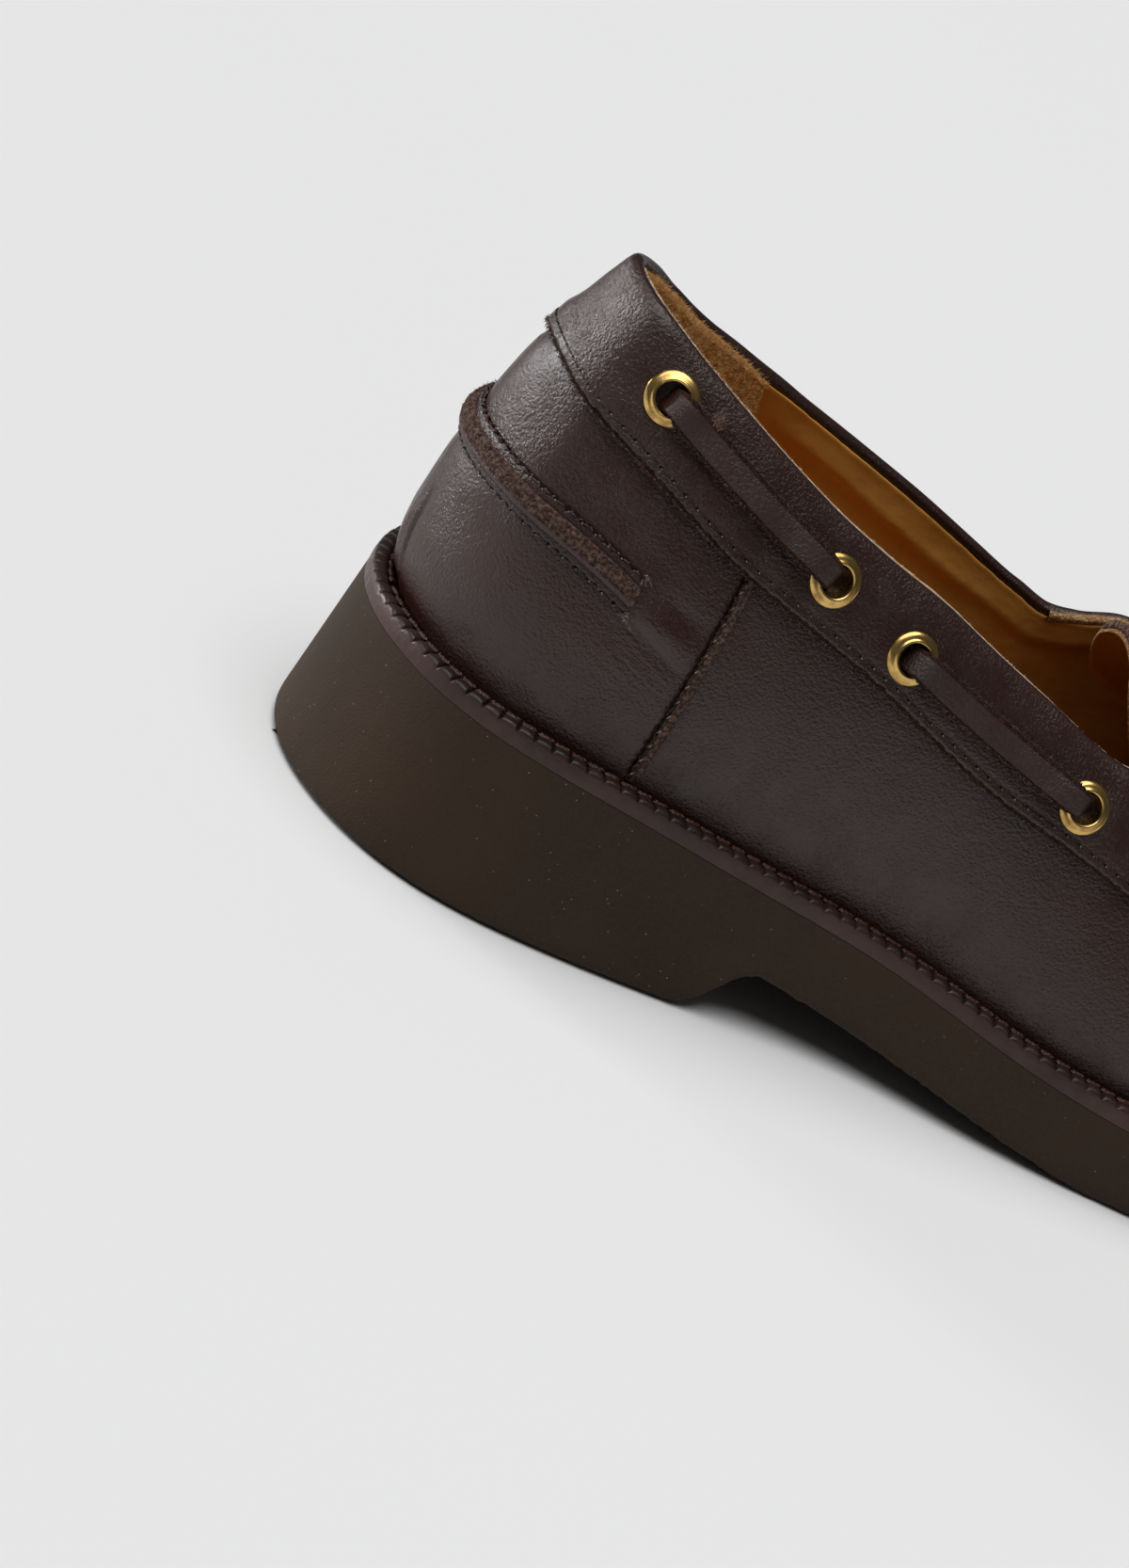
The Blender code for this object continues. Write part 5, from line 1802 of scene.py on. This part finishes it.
def lace_bar(build, ends, base_line, seed):
    """A flat lace with a cut, slightly curled section and rough edges."""
    span = lace_span(ends)
    gone = np.array(TURN_LOOK)[:, 0]
    knots = np.concatenate([gone, [span / 2], span - gone[::-1]])
    heights, widths = follow(TURN_LOOK, np.minimum(knots, span - knots))
    heights[len(gone)] = 0.95
    spread = np.linspace(0, len(knots) - 1, 140)
    index = np.arange(len(knots))
    distance = cubic(index, knots, spread)
    height = cubic(index, heights, spread)
    width = steady(index, widths, spread)
    base, normal = base_line(distance / span)
    path = base + height[:, None] * normal
    heading = unit(np.gradient(path, axis=0))
    side = across_lace(ends, normal)
    upright = unit(np.cross(heading, side))
    section = [
        # v, across, over (of half its thickness)
        (0.00, -1.0, -0.35), (0.03, -1.0, 0.2), (0.06, -0.97, 0.75), (0.10, -0.86, 0.98),
        (0.30, -0.3, 1.04), (0.50, 0.3, 1.04), (0.54, 0.86, 0.98), (0.58, 0.97, 0.75),
        (0.61, 1.0, 0.2), (0.64, 1.0, -0.35), (0.67, 0.95, -0.85), (0.70, 0.85, -1.0),
        (0.94, -0.85, -1.0), (0.97, -0.95, -0.85), (1.0, -1.0, -0.35),
    ]

    def place(u, v):
        centre, across_to, up_to, wide = between((path, side, upright, width[:, None]), u)
        across, over = follow(section, v)
        points = centre + (across[:, None] * wide / 2) * across_to + over[:, None] * LACE_HALF * up_to
        edge = np.abs(across) > 0.9
        rough = ripple(points, 0.8, seed) * 0.32 * edge + 0.07 * ripple(points, 5, seed + 3)
        aside = across_to * np.sign(across)[:, None]
        return points + rough[:, None] * np.where(edge[:, None], aside, up_to)

    surface(190, 36, place, build, paint=lambda u, v: int(v < 0.1 or 0.54 < v < 0.72 or v > 0.94))


def make_laces():
    """The collar lace: four bars along the band, one over the tongue and two stopped ends."""
    build = bmesh.new()
    for k, (one, two) in enumerate(LACE_BARS.values()):
        lace_bar(build, (one, two), over_wall(one, two), 10.0 + k)
    lace_bar(build, THROAT_BAR, over_throat(*THROAT_BAR), 19.0)
    for name in ("lateral_5", "medial_5"):
        lace_stub(build, name)
    piece(
        "collar_lace", solid(build), lace_leather, lace_edge,
        stands_for=["lace_" + name for name in LACE_BARS] + ["lace_throat"], slot="lace_leather",
    )


def make_lace_fuzz():
    """Fibres on the laces' cut edges, and a small torn tuft on the rear outer one."""
    build = bmesh.new()
    draw = np.random.default_rng(31)
    for ends in LACE_BARS.values():
        span, count = lace_span(ends), 900
        gone = draw.uniform(4.0, span - 4.0, count)
        base, normal = over_wall(*ends)(gone / span)
        rise = follow(TURN_LOOK, np.minimum(gone, span - gone))[0]
        side = across_lace(ends, normal)
        hand = np.where(draw.uniform(0, 1, count) < 0.5, -1, 1)
        for k in range(count):
            over = rise[k] + draw.uniform(-0.5, 0.6)
            place = base[k] + over * normal[k] + 2.6 * hand[k] * side[k]
            lean = unit(hand[k] * side[k] + draw.normal(0, 0.6, 3))
            fibre(build, place, lean, draw.uniform(0.3, 0.9), 0.22)
    piece("lace_fuzz", build, strip_raw)
    ends = LACE_BARS["lateral_rear"]
    (base,), (normal,) = over_wall(*ends)(np.array([0.24]))
    side = across_lace(ends, normal)
    side = side if side[2] > 0 else -side
    torn = bmesh.new()
    for _ in range(70):
        spot = base + 1.5 * normal + 2.4 * side + draw.normal(0, 0.55, 3)
        lean = unit(side + 0.4 * normal + draw.normal(0, 0.3, 3))
        fibre(torn, spot, lean, draw.uniform(0.8, 3.0), 0.34)
    piece("lace_torn_tuft", torn, torn_leather)


def lace_stub(build, name):
    """The lace's end, stopped in its top eyelet."""
    station, part, point, normal = eyelet_place(name)
    along = unit(wall(station + 0.05, part) - wall(station - 0.05, part))
    side = np.cross(normal, along)
    path = point + np.outer(np.linspace(-1.9, 0.75, 12), normal)
    section = [
        (0.0, -1.0, -0.5), (0.08, -1.0, 0.5), (0.14, -0.88, 0.95), (0.36, 0.88, 0.95),
        (0.42, 1.0, 0.5), (0.58, 1.0, -0.5), (0.64, 0.88, -0.95), (0.86, -0.88, -0.95),
        (1.0, -1.0, -0.5),
    ]
    wide = [(v, 2.3 * a, LACE_HALF * b) for v, a, b in section]
    sides, ups = (np.tile(way, (len(path), 1)) for way in (side, along))
    sweep(path, sides, ups, wide, 32, False, build)


def punch(made):
    """Cuts the eyelet holes through the band."""
    build = bmesh.new()
    for name in EYELETS:
        _, _, point, normal = eyelet_place(name)
        place = Matrix.Translation(Vector(to_frame(point - 0.6 * normal))) @ facing(normal)
        radius = (EYELET_HOLE / 2 + 0.36) * MM
        bmesh.ops.create_cone(
            build, cap_ends=True, segments=40, depth=4.4 * MM,
            radius1=radius, radius2=radius, matrix=place,
        )
    cutter = show("punch", mesh_of("punch", build))
    cut = made.modifiers.new("Holes", "BOOLEAN")
    cut.object, cut.operation, cut.solver = cutter, "DIFFERENCE", "EXACT"
    graph = bpy.context.evaluated_depsgraph_get()
    cut_mesh = bpy.data.meshes.new_from_object(made.evaluated_get(graph), depsgraph=graph)
    made.data = smoothed(cut_mesh)
    made.modifiers.clear()
    bpy.data.objects.remove(cutter, do_unlink=True)


# The camera, the floor and the light

VIEW_BACK = (-0.3750, -0.8394, 0.3933)   # from the shoe towards the camera
VIEW_UP = (-0.3660, 0.5242, 0.7689)
VIEW_AIM = (-92.1, 0.1, 12.3)            # millimetres in the frame
VIEW_DISTANCE = 996.97
VIEW_LENS = 133.34
ROOM_LIGHT = 0.07       # how strongly the room lights the shoe
ROOM_SEEN = 0.78        # and how strongly it shows past the paper


def make_camera():
    """A long lens looking down at the heel from behind on the outer side, held turned."""
    data = bpy.data.cameras.new("view")
    data.lens, data.sensor_width = VIEW_LENS, 36.0
    data.clip_start, data.clip_end = 0.05, 30.0
    back = Vector(VIEW_BACK).normalized()
    right = Vector(VIEW_UP).cross(back).normalized()
    turn = Matrix((right, back.cross(right), back)).transposed().to_4x4()
    place = (Vector(VIEW_AIM) + back * VIEW_DISTANCE) * MM
    camera = show("view", data)
    camera.matrix_world = Matrix.Translation(place) @ turn
    bpy.context.scene.camera = camera


def make_floor():
    """A sheet of pale studio paper, wide enough to leave no edge in view."""
    build = bmesh.new()
    bmesh.ops.create_grid(build, x_segments=2, y_segments=2, size=1)
    for vert in build.verts:
        vert.co = (vert.co.x * 3.0 + 0.8, vert.co.y * 2.6 + 1.6, -0.0002)
    floor = show("floor", mesh_of("floor", build))
    floor.data.materials.append(plain("studio paper", "#e8e8e8", "#e9e9e9", 1.0, 400.0))


def make_world():
    """A pale room: what the camera sees past the paper is as light as the paper."""
    world = bpy.data.worlds.new("studio")
    world.use_nodes = True
    bpy.context.scene.world = world
    tree = world.node_tree
    seen = add(tree, "LightPath", out="Is Camera Ray")
    power = add(tree, "MapRange", ranged(seen, 0, 1, ROOM_LIGHT, ROOM_SEEN))
    back = tree.nodes["Background"]
    back.inputs["Color"].default_value = linear("#f6f8fb")
    tree.links.new(power, back.inputs["Strength"])


def wide_sun(name, direction, spread, power):
    """A far white light as broad as a window, its spread in degrees."""
    data = bpy.data.lights.new(name, "SUN")
    data.angle, data.energy = math.radians(spread), power
    show(name, data).matrix_world = facing(direction, "Y")


def set_stage():
    """The camera, the paper, the room and its two broad lights."""
    make_camera()
    make_floor()
    make_world()
    wide_sun("ceiling", (-0.25, -0.10, 0.96), 60, 2.8)
    wide_sun("window", (-0.80, 0.59, 0.045), 18, 2.9)
    bpy.context.scene.view_settings.view_transform = "Standard"


def main():
    """Builds every piece of the shoe, then the stage."""
    make_outsole()
    make_welt()
    make_welt_cord()
    make_insole()
    make_upper()
    make_lining()
    make_rim_fibres()
    band = make_band()
    punch(band)
    make_band_stitches()
    make_band_fibres()
    make_strip()
    make_strip_stitches()
    make_strip_fibres()
    make_quarter_seams()
    make_moccasin_seam()
    make_tongue()
    make_facing_edges()
    make_grip()
    make_grip_nap()
    make_eyelets()
    make_laces()
    make_lace_fuzz()
    set_stage()


main()
